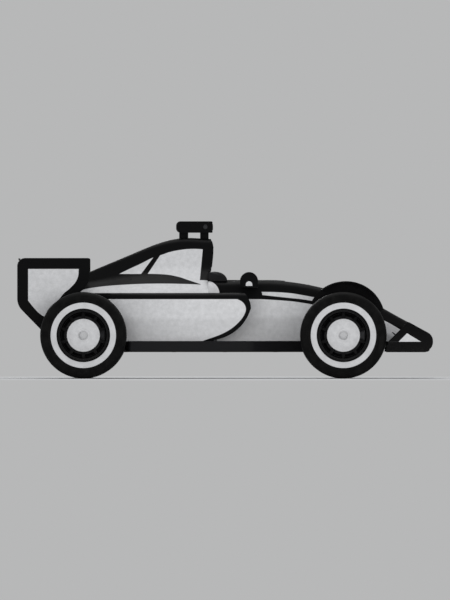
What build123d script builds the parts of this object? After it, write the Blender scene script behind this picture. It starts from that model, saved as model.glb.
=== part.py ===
"""Open-wheel single-seater racing car, built as an assembly of its separate pieces.

Frame: millimetres, +X towards the nose, +Y towards the driver's left, +Z up. The origin is
on the ground, half way along the car and on its centre plane.
"""

import math
import os

from build123d import *

# ---------------------------------------------------------------- driving dimensions
# Overall
HALF_WIDTH = 800.0  # centre plane to the tyres' outer faces
WHEELBASE = 2040.0
REAR_OVERHANG = 522.0
FRONT_OVERHANG = 702.0
NOSE_X = (WHEELBASE + REAR_OVERHANG + FRONT_OVERHANG) / 2
TAIL_X = -NOSE_X
REAR_AXLE_X = TAIL_X + REAR_OVERHANG
FRONT_AXLE_X = NOSE_X - FRONT_OVERHANG

# Wheels
TYRE_RADIUS = 340.0
TYRE_SHOULDER = 16.0  # bevel between the tread and the side
FRONT_TYRE_WIDTH = 260.0
REAR_TYRE_WIDTH = 330.0
BEAD_RADIUS = 190.0  # 15 inch rim
RIM_LIP = 14.0  # flange height past the bead seat
RIM_LIP_WALL = 4.0  # flange that holds the tyre's side
RIM_WALL = 9.0
RIM_FACE_INSET = 74.0  # mounting face inside the tyre's outer side
DISH_RADIUS = 130.0
DISH_WALL = 16.0
DISH_CROWN = 20.0
SPOKES = 10
SPOKE_WIDTH = 26.0
SPOKE_DEPTH = 24.0
FIT = 0.3  # running clearance of pins, shafts and loose fits

# Hubs and uprights
SPINDLE_RADIUS = 28.0
FLANGE_RADIUS = 62.0
FLANGE_WALL = 16.0
NUT_RADIUS = 36.0
NUT_LENGTH = 22.0
DISC_RADIUS = 150.0
DISC_WALL = 28.0
DISC_GAP = 22.0  # brake disc to the hub flange
CALIPER_GAP = 5.0
CALIPER_WALL = 16.0
CALIPER_REACH = 48.0
CALIPER_HEIGHT = 78.0
UPRIGHT_WIDTH = 50.0
UPRIGHT_LENGTH = 66.0
UPRIGHT_HALF_HEIGHT = 112.0
FRONT_KINGPIN_INSET = 45.0  # kingpin axis outboard of the tyre's inner side
REAR_UPRIGHT_INSET = 78.0
FRONT_TYRE_INNER_Y = HALF_WIDTH - FRONT_TYRE_WIDTH
REAR_TYRE_INNER_Y = HALF_WIDTH - REAR_TYRE_WIDTH
FRONT_KINGPIN_Y = FRONT_TYRE_INNER_Y + FRONT_KINGPIN_INSET
REAR_UPRIGHT_Y = REAR_TYRE_INNER_Y + REAR_UPRIGHT_INSET
PIN_RADIUS = 10.0
PIN_LENGTH = 40.0
EYE_WALL = 9.0
EYE_HEIGHT = 20.0
EYE_LIFT = 10.0  # wishbone eye above or below the upright's block

# Steering
STEER_ARM = 110.0
STEER_ARM_WALL = 16.0
STEER_ARM_WIDTH = 24.0
TRACK_PIN_RADIUS = 6.0
TRACK_EYE_BORE = 10.0
TRACK_EYE_RADIUS = 20.0
TRACK_EYE_OFFSET = 1.9  # half of the pin's fore and aft drift at full lock
TRACK_ROD_RADIUS = 8.0
TRACK_EYE_LIP = 2.0  # the eye is this much taller than the rod on each side
TRACK_ROD_GAP = 6.0
ROD_PORT_GAP = 7.0
COLUMN_RADIUS = 12.0
COLUMN_ANGLE = 18.0
COLUMN_LENGTH = 330.0
STEERING_WHEEL_SETBACK = 78.0  # wheel's face behind the cockpit's front edge
STEERING_WHEEL_DROP = 115.0  # wheel's hub below the cockpit rim
STEERING_WHEEL_HALF_WIDTH = 135.0
STEERING_WHEEL_HALF_HEIGHT = 80.0
STEERING_WHEEL_WALL = 26.0

# Wishbones and rods
ARM_RADIUS = 11.0
ARM_HALF_SPREAD = 130.0
REAR_ARM_HALF_SPREAD = 115.0
PUSHROD_RADIUS = 10.0

# Body levels
FLOOR_DROP = 128.0  # floor below the axles
FLOOR_Z = TYRE_RADIUS - FLOOR_DROP
FLOOR_WALL = 14.0
FLOOR_EDGE_HEIGHT = 83.0
FLOOR_EDGE_WALL = 12.0
FLOOR_HALF_WIDTH = HALF_WIDTH - 150.0
FLOOR_TOP_Z = FLOOR_Z + FLOOR_WALL
BODY_HEIGHT = 446.0  # floor to the sidepods' top
COCKPIT_RISE = 98.0  # sidepods' top to the cockpit rim
HEADREST_RISE = 71.0  # cockpit rim to the headrest's top
AIRBOX_RISE = 263.0  # headrest's top to the airbox's top
BELT_Z = FLOOR_TOP_Z + BODY_HEIGHT
COCKPIT_Z = BELT_Z + COCKPIT_RISE
HEADREST_Z = COCKPIT_Z + HEADREST_RISE
AIRBOX_Z = HEADREST_Z + AIRBOX_RISE

# Monocoque and nose
TUB_WALL = 25.0
TUB_REAR_X = -130.0
TUB_FRONT_X = FRONT_AXLE_X + 160.0
TUB_FRONT_Z = COCKPIT_Z - 166.0
TUB_WIDEST_Z = BELT_Z - 192.0
COCKPIT_REAR_X = -92.0
COCKPIT_FRONT_X = 470.0
COCKPIT_HALF_WIDTH = 205.0
COCKPIT_FRONT_RADIUS = 120.0
COCKPIT_REAR_RADIUS = 60.0
DASH_X = COCKPIT_FRONT_X + 30.0
STEERING_WHEEL_X = COCKPIT_FRONT_X - STEERING_WHEEL_SETBACK
STEERING_WHEEL_Z = COCKPIT_Z - STEERING_WHEEL_DROP
DASH_WALL = 16.0
NOSE_BOTTOM_Z = FLOOR_Z + 50.0

# Headrest and seat
HEADREST_HALF_WIDTH = 246.0
HEADREST_GAP_HALF_WIDTH = 150.0
HEADREST_FRONT_X = 25.0
HEADREST_BACK = 62.0
HEADREST_ROUND = 62.0
SEAT_WALL = 14.0
SEAT_HALF_WIDTH = 190.0

# Sidepods
POD_WALL = 12.0
POD_INNER_Y = 302.0
POD_LIP_X = 205.0
POD_LIP_Z = BELT_Z - 118.0
POD_TOP_X = POD_LIP_X - 73.0
POD_TAIL_X = REAR_AXLE_X + 210.0
POD_HALF_WIDTH = FLOOR_HALF_WIDTH - 18.0
POD_TAIL_ROOM = REAR_TYRE_INNER_Y - POD_INNER_Y  # for the pod's tail and its gap to the tyre
RADIATOR_X = -60.0
RADIATOR_WALL = 50.0
RADIATOR_HEIGHT = 360.0
RADIATOR_GAP = 30.0  # core to the pod's outer wall

# Engine cover and airbox
COVER_WALL = 12.0
COVER_TAIL_X = REAR_AXLE_X - 120.0
AIRBOX_FRONT_X = -89.0
INLET_HALF_WIDTH = 66.0
INLET_BOTTOM_Z = HEADREST_Z + 39.0
INLET_TOP_Z = AIRBOX_Z - 26.0
INLET_ROUND = 46.0
INLET_DEPTH = 330.0

# Camera pod
CAMERA_FRONT_X = AIRBOX_FRONT_X - 8.0
CAMERA_LENGTH = 287.0
CAMERA_POST_HEIGHT = 43.0
CAMERA_HEIGHT = 90.0
CAMERA_ROUND = 34.0
CAMERA_HALF_WIDTH = 62.0
CAMERA_POST_HALF_WIDTH = 18.0

# Engine and gearbox
ENGINE_LENGTH = 570.0
ENGINE_HALF_WIDTH = 195.0
ENGINE_TOP_Z = BELT_Z - 52.0
GEARBOX_HALF_WIDTH = 120.0
GEARBOX_TOP_Z = TYRE_RADIUS + 170.0
GEARBOX_BOTTOM_Z = TYRE_RADIUS - 40.0
GEARBOX_TAIL_HALF_WIDTH = 70.0
GEARBOX_TAIL_X = REAR_AXLE_X - 328.0
HALF_SHAFT_RADIUS = 15.0
JACK_BORE_RADIUS = 12.0
JACK_BLOCK_LENGTH = 44.0
JACK_Z = TYRE_RADIUS + 50.0

# Rear wing
REAR_PLATE_GAP = 24.0  # wing plate to the tyre's inner side
REAR_PLATE_WALL = 12.0
REAR_PLATE_Y = REAR_TYRE_INNER_Y - REAR_PLATE_GAP - REAR_PLATE_WALL / 2
REAR_PLATE_LENGTH = 569.0
REAR_PLATE_FRONT_X = TAIL_X + REAR_PLATE_LENGTH
REAR_WING_RISE = 607.0  # axle to the plates' top
WING_TOP_Z = TYRE_RADIUS + REAR_WING_RISE
PYLON_Y = 64.0
PYLON_WALL = 12.0

# Front wing
FRONT_PLATE_WALL = 10.0
FRONT_PLATE_INSET = 10.0  # wing plate inside the tyre's outer side
FRONT_PLATE_Y = HALF_WIDTH - FRONT_PLATE_INSET - FRONT_PLATE_WALL / 2
FRONT_WING_GAP = 10.0  # wing plates to the front tyres
FRONT_PLATE_LENGTH = FRONT_OVERHANG - TYRE_RADIUS - FRONT_WING_GAP
FRONT_WING_TIP_RADIUS = 75.0
FRONT_WING_SETBACK = 32.0
FRONT_WING_CHORD = FRONT_PLATE_LENGTH - FRONT_WING_SETBACK - 34.0
NOSE_LINE_SLOPE = -0.549  # straight line of the nose's top
NOSE_TIP_RISE = 128.3  # that line's height over the floor at the wing plates' tip
FLAP_INNER_Y = 190.0
FLAP_ANGLE = 32.0
FLAP_CHORD = 184.0
FOOT_PLATE_WIDTH = 46.0
FOOT_PLATE_WALL = 6.0

# Mirrors
MIRROR_X = 190.0
MIRROR_Z = COCKPIT_Z - 4.0
MIRROR_RADIUS = 71.0
MIRROR_DROP = 52.0
MIRROR_WIDTH = 122.0
MIRROR_INNER_Y = 330.0
MIRROR_OUTER_Y = MIRROR_INNER_Y + MIRROR_WIDTH

SIDES = {"left": 1, "right": -1}
parts = {}


# ---------------------------------------------------------------- helpers
def outline(plane, corners):
    """A face on a plane from corners (u, v, rounding radius)."""
    points = [(u, v) for u, v, _ in corners]
    radii = [radius for _, _, radius in corners]
    return plane * make_face(FilletPolyline(*points, radius=radii, close=True))


def across(x):
    """The plane across the car at x: its u is +Y and its v is +Z."""
    return Plane(origin=(x, 0, 0), x_dir=(0, 1, 0), z_dir=(1, 0, 0))


def side_plate(corners, y, wall):
    """A plate standing along the car: its outline is (x, z, radius), its middle is at y."""
    face = outline(Plane.XZ, corners)
    return Pos(0, y, 0) * extrude(face, amount=wall / 2, both=True)


def box(x, y, z):
    """A box between the two values of each axis."""
    size = [high - low for low, high in (x, y, z)]
    middle = [(low + high) / 2 for low, high in (x, y, z)]
    return Pos(*middle) * Box(*size)


def rod(start, end, radius):
    """A round bar between two points."""
    start, end = Vector(*start), Vector(*end)
    plane = Plane(origin=start, z_dir=end - start)
    return extrude(plane * Circle(radius), amount=(end - start).length)


def upright_cylinder(x, y, z_low, z_high, radius):
    """A vertical cylinder."""
    return Pos(x, y, (z_low + z_high) / 2) * Cylinder(radius, z_high - z_low)


def turned(profile, x, side):
    """A body of revolution about a wheel's axle; the profile is (radius, y) on the left."""
    face = make_face(Polyline(*[(radius, y) for radius, y in profile], close=True))
    solid = revolve(face, axis=Axis.Y)
    if side < 0:
        solid = mirror(solid, about=Plane.XZ)
    return Pos(x, 0, TYRE_RADIUS) * solid


def aerofoil(lead, trail, sag, wall, lead_radius, half_span, y=0.0):
    """A wing element along Y, its section from the leading to the trailing edge (x, z).

    The section hangs below its chord by sag at the middle, and is wall thick there.
    """
    (lead_x, lead_z), (trail_x, trail_z) = lead, trail
    chord = math.hypot(trail_x - lead_x, trail_z - lead_z)
    ux, uz = (trail_x - lead_x) / chord, (trail_z - lead_z) / chord
    nx, nz = (-uz, ux) if ux > 0 else (uz, -ux)

    def at(along, up):
        return (lead_x + ux * along + nx * up, lead_z + uz * along + nz * up)

    middle, tip = chord / 2, 2.0
    lower = ThreePointArc(at(lead_radius, -lead_radius), at(middle, -sag - wall / 2), at(chord, -tip))
    back = Line(at(chord, -tip), at(chord, tip))
    upper = ThreePointArc(at(chord, tip), at(middle, -sag + wall / 2), at(lead_radius, lead_radius))
    front = ThreePointArc(at(lead_radius, lead_radius), at(0, 0), at(lead_radius, -lead_radius))
    face = Plane.XZ * make_face([lower, back, upper, front])
    return Pos(0, y, 0) * extrude(face, amount=half_span, both=True)


def hull_section(x, bottom, middle, top, z_bottom, z_middle, z_top, radii, inset=0.0):
    """A six-cornered body section: half widths at three levels, inset on every side."""
    r_bottom, r_middle, r_top = radii
    b, m, t = bottom - inset, middle - inset, top - inset
    low, high = z_bottom + inset, z_top - inset
    return outline(
        across(x),
        [
            (-b, low, r_bottom),
            (b, low, r_bottom),
            (m, z_middle, r_middle),
            (t, high, r_top),
            (-t, high, r_top),
            (-m, z_middle, r_middle),
        ],
    )


def one(shape):
    """The shape as one compound of its solids, for export."""
    solids = shape.solids() if hasattr(shape, "solids") else [s for x in shape for s in x.solids()]
    return solids[0] if len(solids) == 1 else Compound(children=list(solids))


def joined(shapes):
    """All shapes fused."""
    first, *rest = shapes
    for shape in rest:
        first = first + shape
    return first


# ---------------------------------------------------------------- monocoque and nose
def nose_line_z(x):
    """Height of the straight line along the nose's top."""
    return FLOOR_Z + NOSE_TIP_RISE + NOSE_LINE_SLOPE * (x - NOSE_X)


# Columns: x, half width at the bottom, the widest level and the top, top z
TUB_SECTIONS = [
    (TUB_REAR_X, 250.0, 300.0, 262.0, COCKPIT_Z),
    (120.0, 250.0, 300.0, 262.0, COCKPIT_Z),
    (390.0, 246.0, 294.0, 254.0, COCKPIT_Z),
    (FRONT_AXLE_X - 330.0, 226.0, 268.0, 220.0, COCKPIT_Z - 23),
    (FRONT_AXLE_X - 130.0, 192.0, 226.0, 176.0, COCKPIT_Z - 66),
    (TUB_FRONT_X, 146.0, 174.0, 124.0, TUB_FRONT_Z),
]
TUB_RADII = (40.0, 110.0, 62.0)
# Columns: x, half widths as above, bottom z, top z, radii
NOSE_SECTIONS = [
    (TUB_FRONT_X, 146.0, 174.0, 124.0, FLOOR_TOP_Z, TUB_FRONT_Z, (40.0, 110.0, 62.0)),
    (NOSE_X - 382, 120.0, 150.0, 104.0, NOSE_BOTTOM_Z - 12, nose_line_z(NOSE_X - 382), (36.0, 70.0, 52.0)),
    (NOSE_X - 182, 96.0, 116.0, 84.0, NOSE_BOTTOM_Z - 6, nose_line_z(NOSE_X - 182), (30.0, 40.0, 44.0)),
    (NOSE_X - 62, 76.0, 90.0, 66.0, NOSE_BOTTOM_Z, nose_line_z(NOSE_X - 62), (24.0, 26.0, 34.0)),
    (NOSE_X - 14, 46.0, 56.0, 40.0, NOSE_BOTTOM_Z + 14, nose_line_z(NOSE_X) - 2, (14.0, 14.0, 20.0)),
]


def tub_loft(inset=0.0):
    sections = []
    for x, bottom, middle, top, z_top in TUB_SECTIONS:
        end = inset if x == TUB_REAR_X else -inset if x == TUB_FRONT_X else 0.0
        sections.append(
            hull_section(
                x + end, bottom, middle, top, FLOOR_TOP_Z, TUB_WIDEST_Z, z_top,
                [r - inset / 2 for r in TUB_RADII], inset,
            )
        )
    return loft(sections)


def monocoque():
    """Hollow survival cell, open at the cockpit, with ports for the track rods."""
    opening = outline(
        Plane.XY.offset(TUB_WIDEST_Z + 100),
        [
            (COCKPIT_REAR_X, -COCKPIT_HALF_WIDTH, COCKPIT_REAR_RADIUS),
            (COCKPIT_FRONT_X, -COCKPIT_HALF_WIDTH, COCKPIT_FRONT_RADIUS),
            (COCKPIT_FRONT_X, COCKPIT_HALF_WIDTH, COCKPIT_FRONT_RADIUS),
            (COCKPIT_REAR_X, COCKPIT_HALF_WIDTH, COCKPIT_REAR_RADIUS),
        ],
    )
    ports = rod(
        (TRACK_ROD_X, -HALF_WIDTH, TRACK_ROD_Z), (TRACK_ROD_X, HALF_WIDTH, TRACK_ROD_Z),
        TRACK_ROD_RADIUS + ROD_PORT_GAP,
    )
    shell = tub_loft() - tub_loft(TUB_WALL)
    return shell - extrude(opening, amount=HALF_WIDTH) - ports


def nose_cone():
    """Closed nose box with a rounded tip."""
    sections = []
    for x, bottom, middle, top, z_low, z_high, radii in NOSE_SECTIONS:
        level = z_low + (z_high - z_low) * (TUB_WIDEST_Z - FLOOR_TOP_Z) / (TUB_FRONT_Z - FLOOR_TOP_Z)
        sections.append(hull_section(x, bottom, middle, top, z_low, level, z_high, radii))
    return loft(sections)


TRACK_ROD_X = FRONT_AXLE_X - STEER_ARM + TRACK_EYE_OFFSET
STEER_ARM_Z = TYRE_RADIUS
TRACK_ROD_Z = STEER_ARM_Z + STEER_ARM_WALL / 2 + TRACK_ROD_GAP + TRACK_ROD_RADIUS


def headrest_pad():
    """Foam collar round the back of the cockpit rim."""
    back = TUB_REAR_X + 2
    profile = [
        (back, COCKPIT_Z, 0),
        (HEADREST_FRONT_X, COCKPIT_Z, 0),
        (HEADREST_FRONT_X, HEADREST_Z, HEADREST_ROUND),
        (back, HEADREST_Z, 8),
    ]
    collar = side_plate(profile, 0, 2 * HEADREST_HALF_WIDTH)
    gap = box(
        (back + HEADREST_BACK, NOSE_X),
        (-HEADREST_GAP_HALF_WIDTH, HEADREST_GAP_HALF_WIDTH),
        (FLOOR_Z, AIRBOX_Z),
    )
    return collar - gap


def seat_shell():
    """Reclined bucket seat: a bent sheet with raised sides."""
    low, high = FLOOR_TOP_Z + TUB_WALL, BELT_Z - 32.0
    back, front = TUB_REAR_X + TUB_WALL + 8, COCKPIT_FRONT_X - 70.0
    outer = [
        (back, high, 0), (back + 20, low, 60), (front, low, 0),
        (front, low + 129, 30), (back + 140, low + 169, 90), (back + 60, high, 0),
    ]
    inner = [
        (back + SEAT_WALL, high + 50, 0),
        (back + 20 + SEAT_WALL, low + SEAT_WALL, 50),
        (front + 50, low + SEAT_WALL, 0),
        (front + 50, high + 50, 0),
    ]
    body = side_plate(outer, 0, 2 * SEAT_HALF_WIDTH)
    return body - side_plate(inner, 0, 2 * (SEAT_HALF_WIDTH - SEAT_WALL))


def dash_bulkhead():
    """Hoop plate in front of the steering wheel, with the column's bush bore."""
    low, top = COCKPIT_Z - 250.0, COCKPIT_Z - 48.0
    shape = [
        (-200.0, low, 20), (200.0, low, 20), (200.0, top - 82, 40), (160.0, top, 40),
        (-160.0, top, 40), (-200.0, top - 82, 40),
    ]
    plate = extrude(outline(across(DASH_X), shape), amount=DASH_WALL)
    foot = box((DASH_X, DASH_X + DASH_WALL), (-POD_INNER_Y, POD_INNER_Y), (low, low + 80))
    plate = plate + foot
    return (plate & tub_loft(TUB_WALL)) - column_bar(COLUMN_RADIUS + FIT)


# ---------------------------------------------------------------- floor
# Columns: x, half width
FLOOR_PLAN = [
    (REAR_AXLE_X + 110.0, 300.0, 0),
    (REAR_AXLE_X + 210.0, REAR_PLATE_Y, 20),
    (REAR_AXLE_X + 345.0, REAR_PLATE_Y, 10),
    (REAR_AXLE_X + 345.0, FLOOR_HALF_WIDTH, 30),
    (150.0, FLOOR_HALF_WIDTH, 300),
    (FRONT_AXLE_X - 370.0, 372.0, 200),
    (FRONT_AXLE_X - 210.0, 290.0, 60),
    (TUB_FRONT_X, 150.0, 0),
]
FLOOR_EDGE_END_X = FRONT_AXLE_X - 230.0


def floor_face(inset=0.0):
    half = [(x, y - inset if y > 150.0 else y, radius) for x, y, radius in FLOOR_PLAN]
    mirrored = [(x, -y, radius) for x, y, radius in reversed(half)]
    return outline(Plane.XY.offset(FLOOR_Z), half + mirrored)


def floor_tray():
    """Flat undertray with an upright edge board along each side."""
    plate = extrude(floor_face(), amount=FLOOR_WALL)
    edge = extrude(floor_face() - floor_face(FLOOR_EDGE_WALL), amount=FLOOR_EDGE_HEIGHT)
    rear_x = FLOOR_PLAN[2][0]
    keep = box((rear_x, FLOOR_EDGE_END_X), (-HALF_WIDTH, HALF_WIDTH), (FLOOR_Z, BELT_Z))
    return plate + (edge & keep)


def diffuser():
    """Rising ramp behind the floor with four fences under it."""
    start, end, rise = FLOOR_PLAN[0][0], REAR_AXLE_X - 290.0, 106.0
    half, wall, fence = 210.0, 10.0, 6.0
    ramp = side_plate(
        [
            (start, FLOOR_Z, 0), (start, FLOOR_Z + wall, 0),
            (end, FLOOR_Z + rise + wall, 0), (end, FLOOR_Z + rise, 0),
        ],
        0, 2 * half,
    )
    fences = [
        side_plate(
            [
                (start, FLOOR_Z, 0), (end, FLOOR_Z + rise + wall / 2, 0),
                (end, FLOOR_Z + 40, 0), (end + 60, FLOOR_Z, 20),
            ],
            y, fence,
        )
        for y in (-half + fence / 2, -half / 3, half / 3, half - fence / 2)
    ]
    return joined([ramp, *fences])


# ---------------------------------------------------------------- sidepods
# Columns: x, outer half width at the bottom, the widest level and the top
POD_SECTIONS = [
    (290.0, POD_HALF_WIDTH - 132, POD_HALF_WIDTH - 92, POD_HALF_WIDTH - 132),
    (-180.0, POD_HALF_WIDTH - 50, POD_HALF_WIDTH, POD_HALF_WIDTH - 40),
    (-480.0, POD_HALF_WIDTH - 87, POD_HALF_WIDTH - 36, POD_HALF_WIDTH - 84),
    (POD_TAIL_X - 40, *(POD_INNER_Y + share * POD_TAIL_ROOM for share in (0.38, 0.55, 0.345))),
]
POD_WIDEST_Z = BELT_Z - 202.0


def pod_loft(inset=0.0):
    sections = []
    for x, bottom, middle, top in POD_SECTIONS:
        width = top - POD_INNER_Y - 2 * inset
        sections.append(
            outline(
                across(x),
                [
                    (POD_INNER_Y + inset, FLOOR_TOP_Z + inset, 0),
                    (bottom - inset, FLOOR_TOP_Z + inset, min(34 - inset / 2, width / 2)),
                    (middle - inset, POD_WIDEST_Z, 90),
                    (top - inset, BELT_Z - inset, min(40 - inset / 2, width / 2)),
                    (POD_INNER_Y + inset, BELT_Z - inset, 0),
                ],
            )
        )
    return loft(sections)


def pod_front_cutter():
    """Everything ahead of the swept-back intake lip, whose side view is two arcs."""
    top = (POD_TOP_X, BELT_Z + 20)
    lip = (POD_LIP_X, POD_LIP_Z)
    toe = (POD_LIP_X - 285, FLOOR_TOP_Z + 78)
    foot = (POD_LIP_X - 440, FLOOR_TOP_Z - 20)
    upper = ThreePointArc(top, (POD_LIP_X - 17, POD_LIP_Z + 70), lip)
    lower = ThreePointArc(lip, (POD_LIP_X - 82, POD_LIP_Z - 145), toe)
    ahead = POD_SECTIONS[0][0] + 100
    rest = Polyline(toe, foot, (ahead, foot[1]), (ahead, top[1]), top)
    return extrude(Plane.XZ * make_face([upper, lower, rest]), amount=HALF_WIDTH, both=True)


def sidepod(side):
    """Hollow radiator duct, open at the intake lip and at the tail."""
    behind = box((POD_TAIL_X - 100, POD_TAIL_X), (0, HALF_WIDTH), (0, COCKPIT_Z))
    pod = pod_loft() - pod_loft(POD_WALL) - pod_front_cutter() - behind
    return pod if side > 0 else mirror(pod, about=Plane.XZ)


def radiators():
    """A core standing on each pod's floor."""
    low = FLOOR_TOP_Z + POD_WALL
    inner = POD_INNER_Y + POD_WALL
    outer = POD_HALF_WIDTH - 36 - POD_WALL - RADIATOR_GAP
    core = box(
        (RADIATOR_X - RADIATOR_WALL, RADIATOR_X),
        (inner, outer),
        (low, low + RADIATOR_HEIGHT),
    )
    return [core, mirror(core, about=Plane.XZ)]


# ---------------------------------------------------------------- engine cover and airbox
COVER_SLOPE_X = -627.0
COVER_THIRD_X = COVER_TAIL_X + 330.0
COVER_SLOPE_Z = AIRBOX_Z - 79.0
COVER_TAIL_Z = BELT_Z + 98.5
COVER_SLOPE = (COVER_SLOPE_Z - COVER_TAIL_Z) / (COVER_SLOPE_X - COVER_TAIL_X)


def spine_z(x):
    """Height of the straight part of the spine."""
    return COVER_SLOPE_Z - COVER_SLOPE * (COVER_SLOPE_X - x)


# Columns: x, half width at the base, the shoulder and the top, shoulder z, top z, radii
COVER_SECTIONS = [
    (-60.0, 290.0, 118.0, 84.0, HEADREST_Z + 21, AIRBOX_Z, (0.0, 130.0, 56.0)),
    (-220.0, 300.0, 124.0, 84.0, HEADREST_Z + 21, AIRBOX_Z, (0.0, 130.0, 56.0)),
    (-380.0, 318.0, 124.0, 76.0, HEADREST_Z + 11, AIRBOX_Z - 4, (0.0, 130.0, 52.0)),
    (COVER_SLOPE_X, 312.0, 112.0, 54.0, BELT_Z + 152, spine_z(COVER_SLOPE_X), (0.0, 130.0, 36.0)),
    (COVER_THIRD_X, 240.0, 92.0, 44.0, BELT_Z + 108, spine_z(COVER_THIRD_X), (0.0, 100.0, 28.0)),
    (COVER_TAIL_X + 167, 176.0, 84.0, 42.0, BELT_Z + 84, spine_z(COVER_TAIL_X + 167), (0.0, 80.0, 24.0)),
    (COVER_TAIL_X, 120.0, 70.0, 40.0, BELT_Z + 56, spine_z(COVER_TAIL_X), (0.0, 40.0, 20.0)),
]


def cover_loft(inset=0.0):
    sections = []
    for x, base, shoulder, top, z_shoulder, z_top, radii in COVER_SECTIONS:
        end = -20.0 if inset and x == COVER_TAIL_X else 0.0
        low = BELT_Z - (20.0 if inset else 0.0)
        b, s, t = base - inset, shoulder - inset, top - inset
        r_base, r_shoulder, r_top = radii
        r_top -= inset / 2
        sections.append(
            outline(
                across(x + end),
                [
                    (-b, low, r_base),
                    (b, low, r_base),
                    (s, z_shoulder, r_shoulder),
                    (t, z_top - inset, r_top),
                    (-t, z_top - inset, r_top),
                    (-s, z_shoulder, r_shoulder),
                ],
            )
        )
    return loft(sections)


def front_trim(step):
    """Side outline of everything behind the cover's front edge, moved back by step."""
    face_x = TUB_REAR_X - step
    return side_plate(
        [
            (face_x, BELT_Z - 30, 0),
            (face_x, HEADREST_Z + 1, 0),
            (AIRBOX_FRONT_X - 20 - step, HEADREST_Z + 1, 0),
            (AIRBOX_FRONT_X - step, AIRBOX_Z - 71, 0),
            (AIRBOX_FRONT_X - 30 - step, AIRBOX_Z + 20, 0),
            (COVER_TAIL_X - 30, AIRBOX_Z + 20, 0),
            (COVER_TAIL_X - 30, BELT_Z - 30, 0),
        ],
        0, 2 * HALF_WIDTH,
    )


def engine_cover():
    """Hollow hood with the ram airbox intake in front, open below and at the tail."""
    outer = cover_loft() & front_trim(0.0)
    inner = cover_loft(COVER_WALL) & front_trim(3 * COVER_WALL)
    half, low, high = INLET_HALF_WIDTH, INLET_BOTTOM_Z, INLET_TOP_Z
    intake = extrude(
        outline(
            across(AIRBOX_FRONT_X + 30),
            [
                (-half, low, INLET_ROUND), (half, low, INLET_ROUND),
                (half, high, INLET_ROUND), (-half, high, INLET_ROUND),
            ],
        ),
        amount=-INLET_DEPTH,
    )
    return outer - inner - intake


def camera_pod(cover):
    """Roll-hoop camera: a flat pod on two posts."""
    rear, bottom = CAMERA_FRONT_X - CAMERA_LENGTH, AIRBOX_Z + CAMERA_POST_HEIGHT
    pod = side_plate(
        [
            (rear, bottom, CAMERA_ROUND),
            (CAMERA_FRONT_X, bottom, 6),
            (CAMERA_FRONT_X, bottom + CAMERA_HEIGHT, 10),
            (rear, bottom + CAMERA_HEIGHT, CAMERA_ROUND),
        ],
        0, 2 * CAMERA_HALF_WIDTH,
    )
    # Columns: each post's rear and front edge, measured back from the pod's front
    posts = [
        box(
            (CAMERA_FRONT_X - back, CAMERA_FRONT_X - front),
            (-CAMERA_POST_HALF_WIDTH, CAMERA_POST_HALF_WIDTH), (AIRBOX_Z - 10, bottom + 5),
        )
        for back, front in ((263.0, 192.0), (98.0, 31.0))
    ]
    return joined([pod, *posts]) - cover


# ---------------------------------------------------------------- engine, gearbox, exhaust
def engine_block():
    """Stressed engine as one plain block behind the monocoque."""
    return box(
        (TUB_REAR_X - ENGINE_LENGTH, TUB_REAR_X),
        (-ENGINE_HALF_WIDTH, ENGINE_HALF_WIDTH),
        (FLOOR_TOP_Z, ENGINE_TOP_Z),
    )


def across_bore(x, z, radius):
    """A cutter right across the car at one place."""
    return rod((x, -HALF_WIDTH, z), (x, HALF_WIDTH, z), radius)


def gearbox_case():
    """Gearbox and rear crash box, tapering to the tail."""
    front = TUB_REAR_X - ENGINE_LENGTH
    tail_low, tail_high = GEARBOX_BOTTOM_Z + 50, GEARBOX_TOP_Z - 80
    # Columns: x, half width, bottom z, top z
    table = [
        (front, ENGINE_HALF_WIDTH - 30, FLOOR_TOP_Z + 40, GEARBOX_TOP_Z + 40),
        (REAR_AXLE_X + 140, GEARBOX_HALF_WIDTH, GEARBOX_BOTTOM_Z, GEARBOX_TOP_Z),
        (REAR_AXLE_X - 120, GEARBOX_HALF_WIDTH, GEARBOX_BOTTOM_Z, GEARBOX_TOP_Z),
        (GEARBOX_TAIL_X + JACK_BLOCK_LENGTH, GEARBOX_TAIL_HALF_WIDTH, tail_low, tail_high),
        (GEARBOX_TAIL_X, GEARBOX_TAIL_HALF_WIDTH, tail_low, tail_high),
    ]
    faces = [
        outline(across(x), [(-w, low, 24), (w, low, 24), (w, high, 24), (-w, high, 24)])
        for x, w, low, high in table
    ]
    jack_x = GEARBOX_TAIL_X + JACK_BLOCK_LENGTH / 2
    case = loft(faces, ruled=True) - across_bore(jack_x, JACK_Z, JACK_BORE_RADIUS)
    return case - across_bore(REAR_AXLE_X, TYRE_RADIUS, HALF_SHAFT_RADIUS + FIT)


def exhaust_pipe():
    """Tail pipe lying on top of the gearbox, its mouth behind the cover."""
    radius, bore, rise = 46.0, 42.0, 24.0
    z = GEARBOX_TOP_Z + radius
    start, end = (REAR_AXLE_X + 120, 0, z), (REAR_AXLE_X - 180, 0, z + rise)
    return rod(start, end, radius) - rod(start, end, bore)


def rain_light():
    return box(
        (GEARBOX_TAIL_X - 14, GEARBOX_TAIL_X), (-GEARBOX_TAIL_HALF_WIDTH + 10, GEARBOX_TAIL_HALF_WIDTH - 10),
        (GEARBOX_BOTTOM_Z + 60, GEARBOX_TOP_Z - 90),
    )


# ---------------------------------------------------------------- rear wing
def rear_endplates():
    """Side plates of the rear wing: square at the top, swept to a point beside the tyre."""
    corners = [
        (TAIL_X, WING_TOP_Z, 63),
        (REAR_PLATE_FRONT_X, WING_TOP_Z, 14),
        (REAR_PLATE_FRONT_X, WING_TOP_Z - 190, 150),
        (TAIL_X + 322, WING_TOP_Z - 456, 0),
        (TAIL_X + 230, WING_TOP_Z - 600, 30),
        (TAIL_X + 181, WING_TOP_Z - 558, 0),
        (TAIL_X, WING_TOP_Z - 372, 130),
    ]
    plate = side_plate(corners, REAR_PLATE_Y, REAR_PLATE_WALL)
    return [plate, mirror(plate, about=Plane.XZ)]


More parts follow.
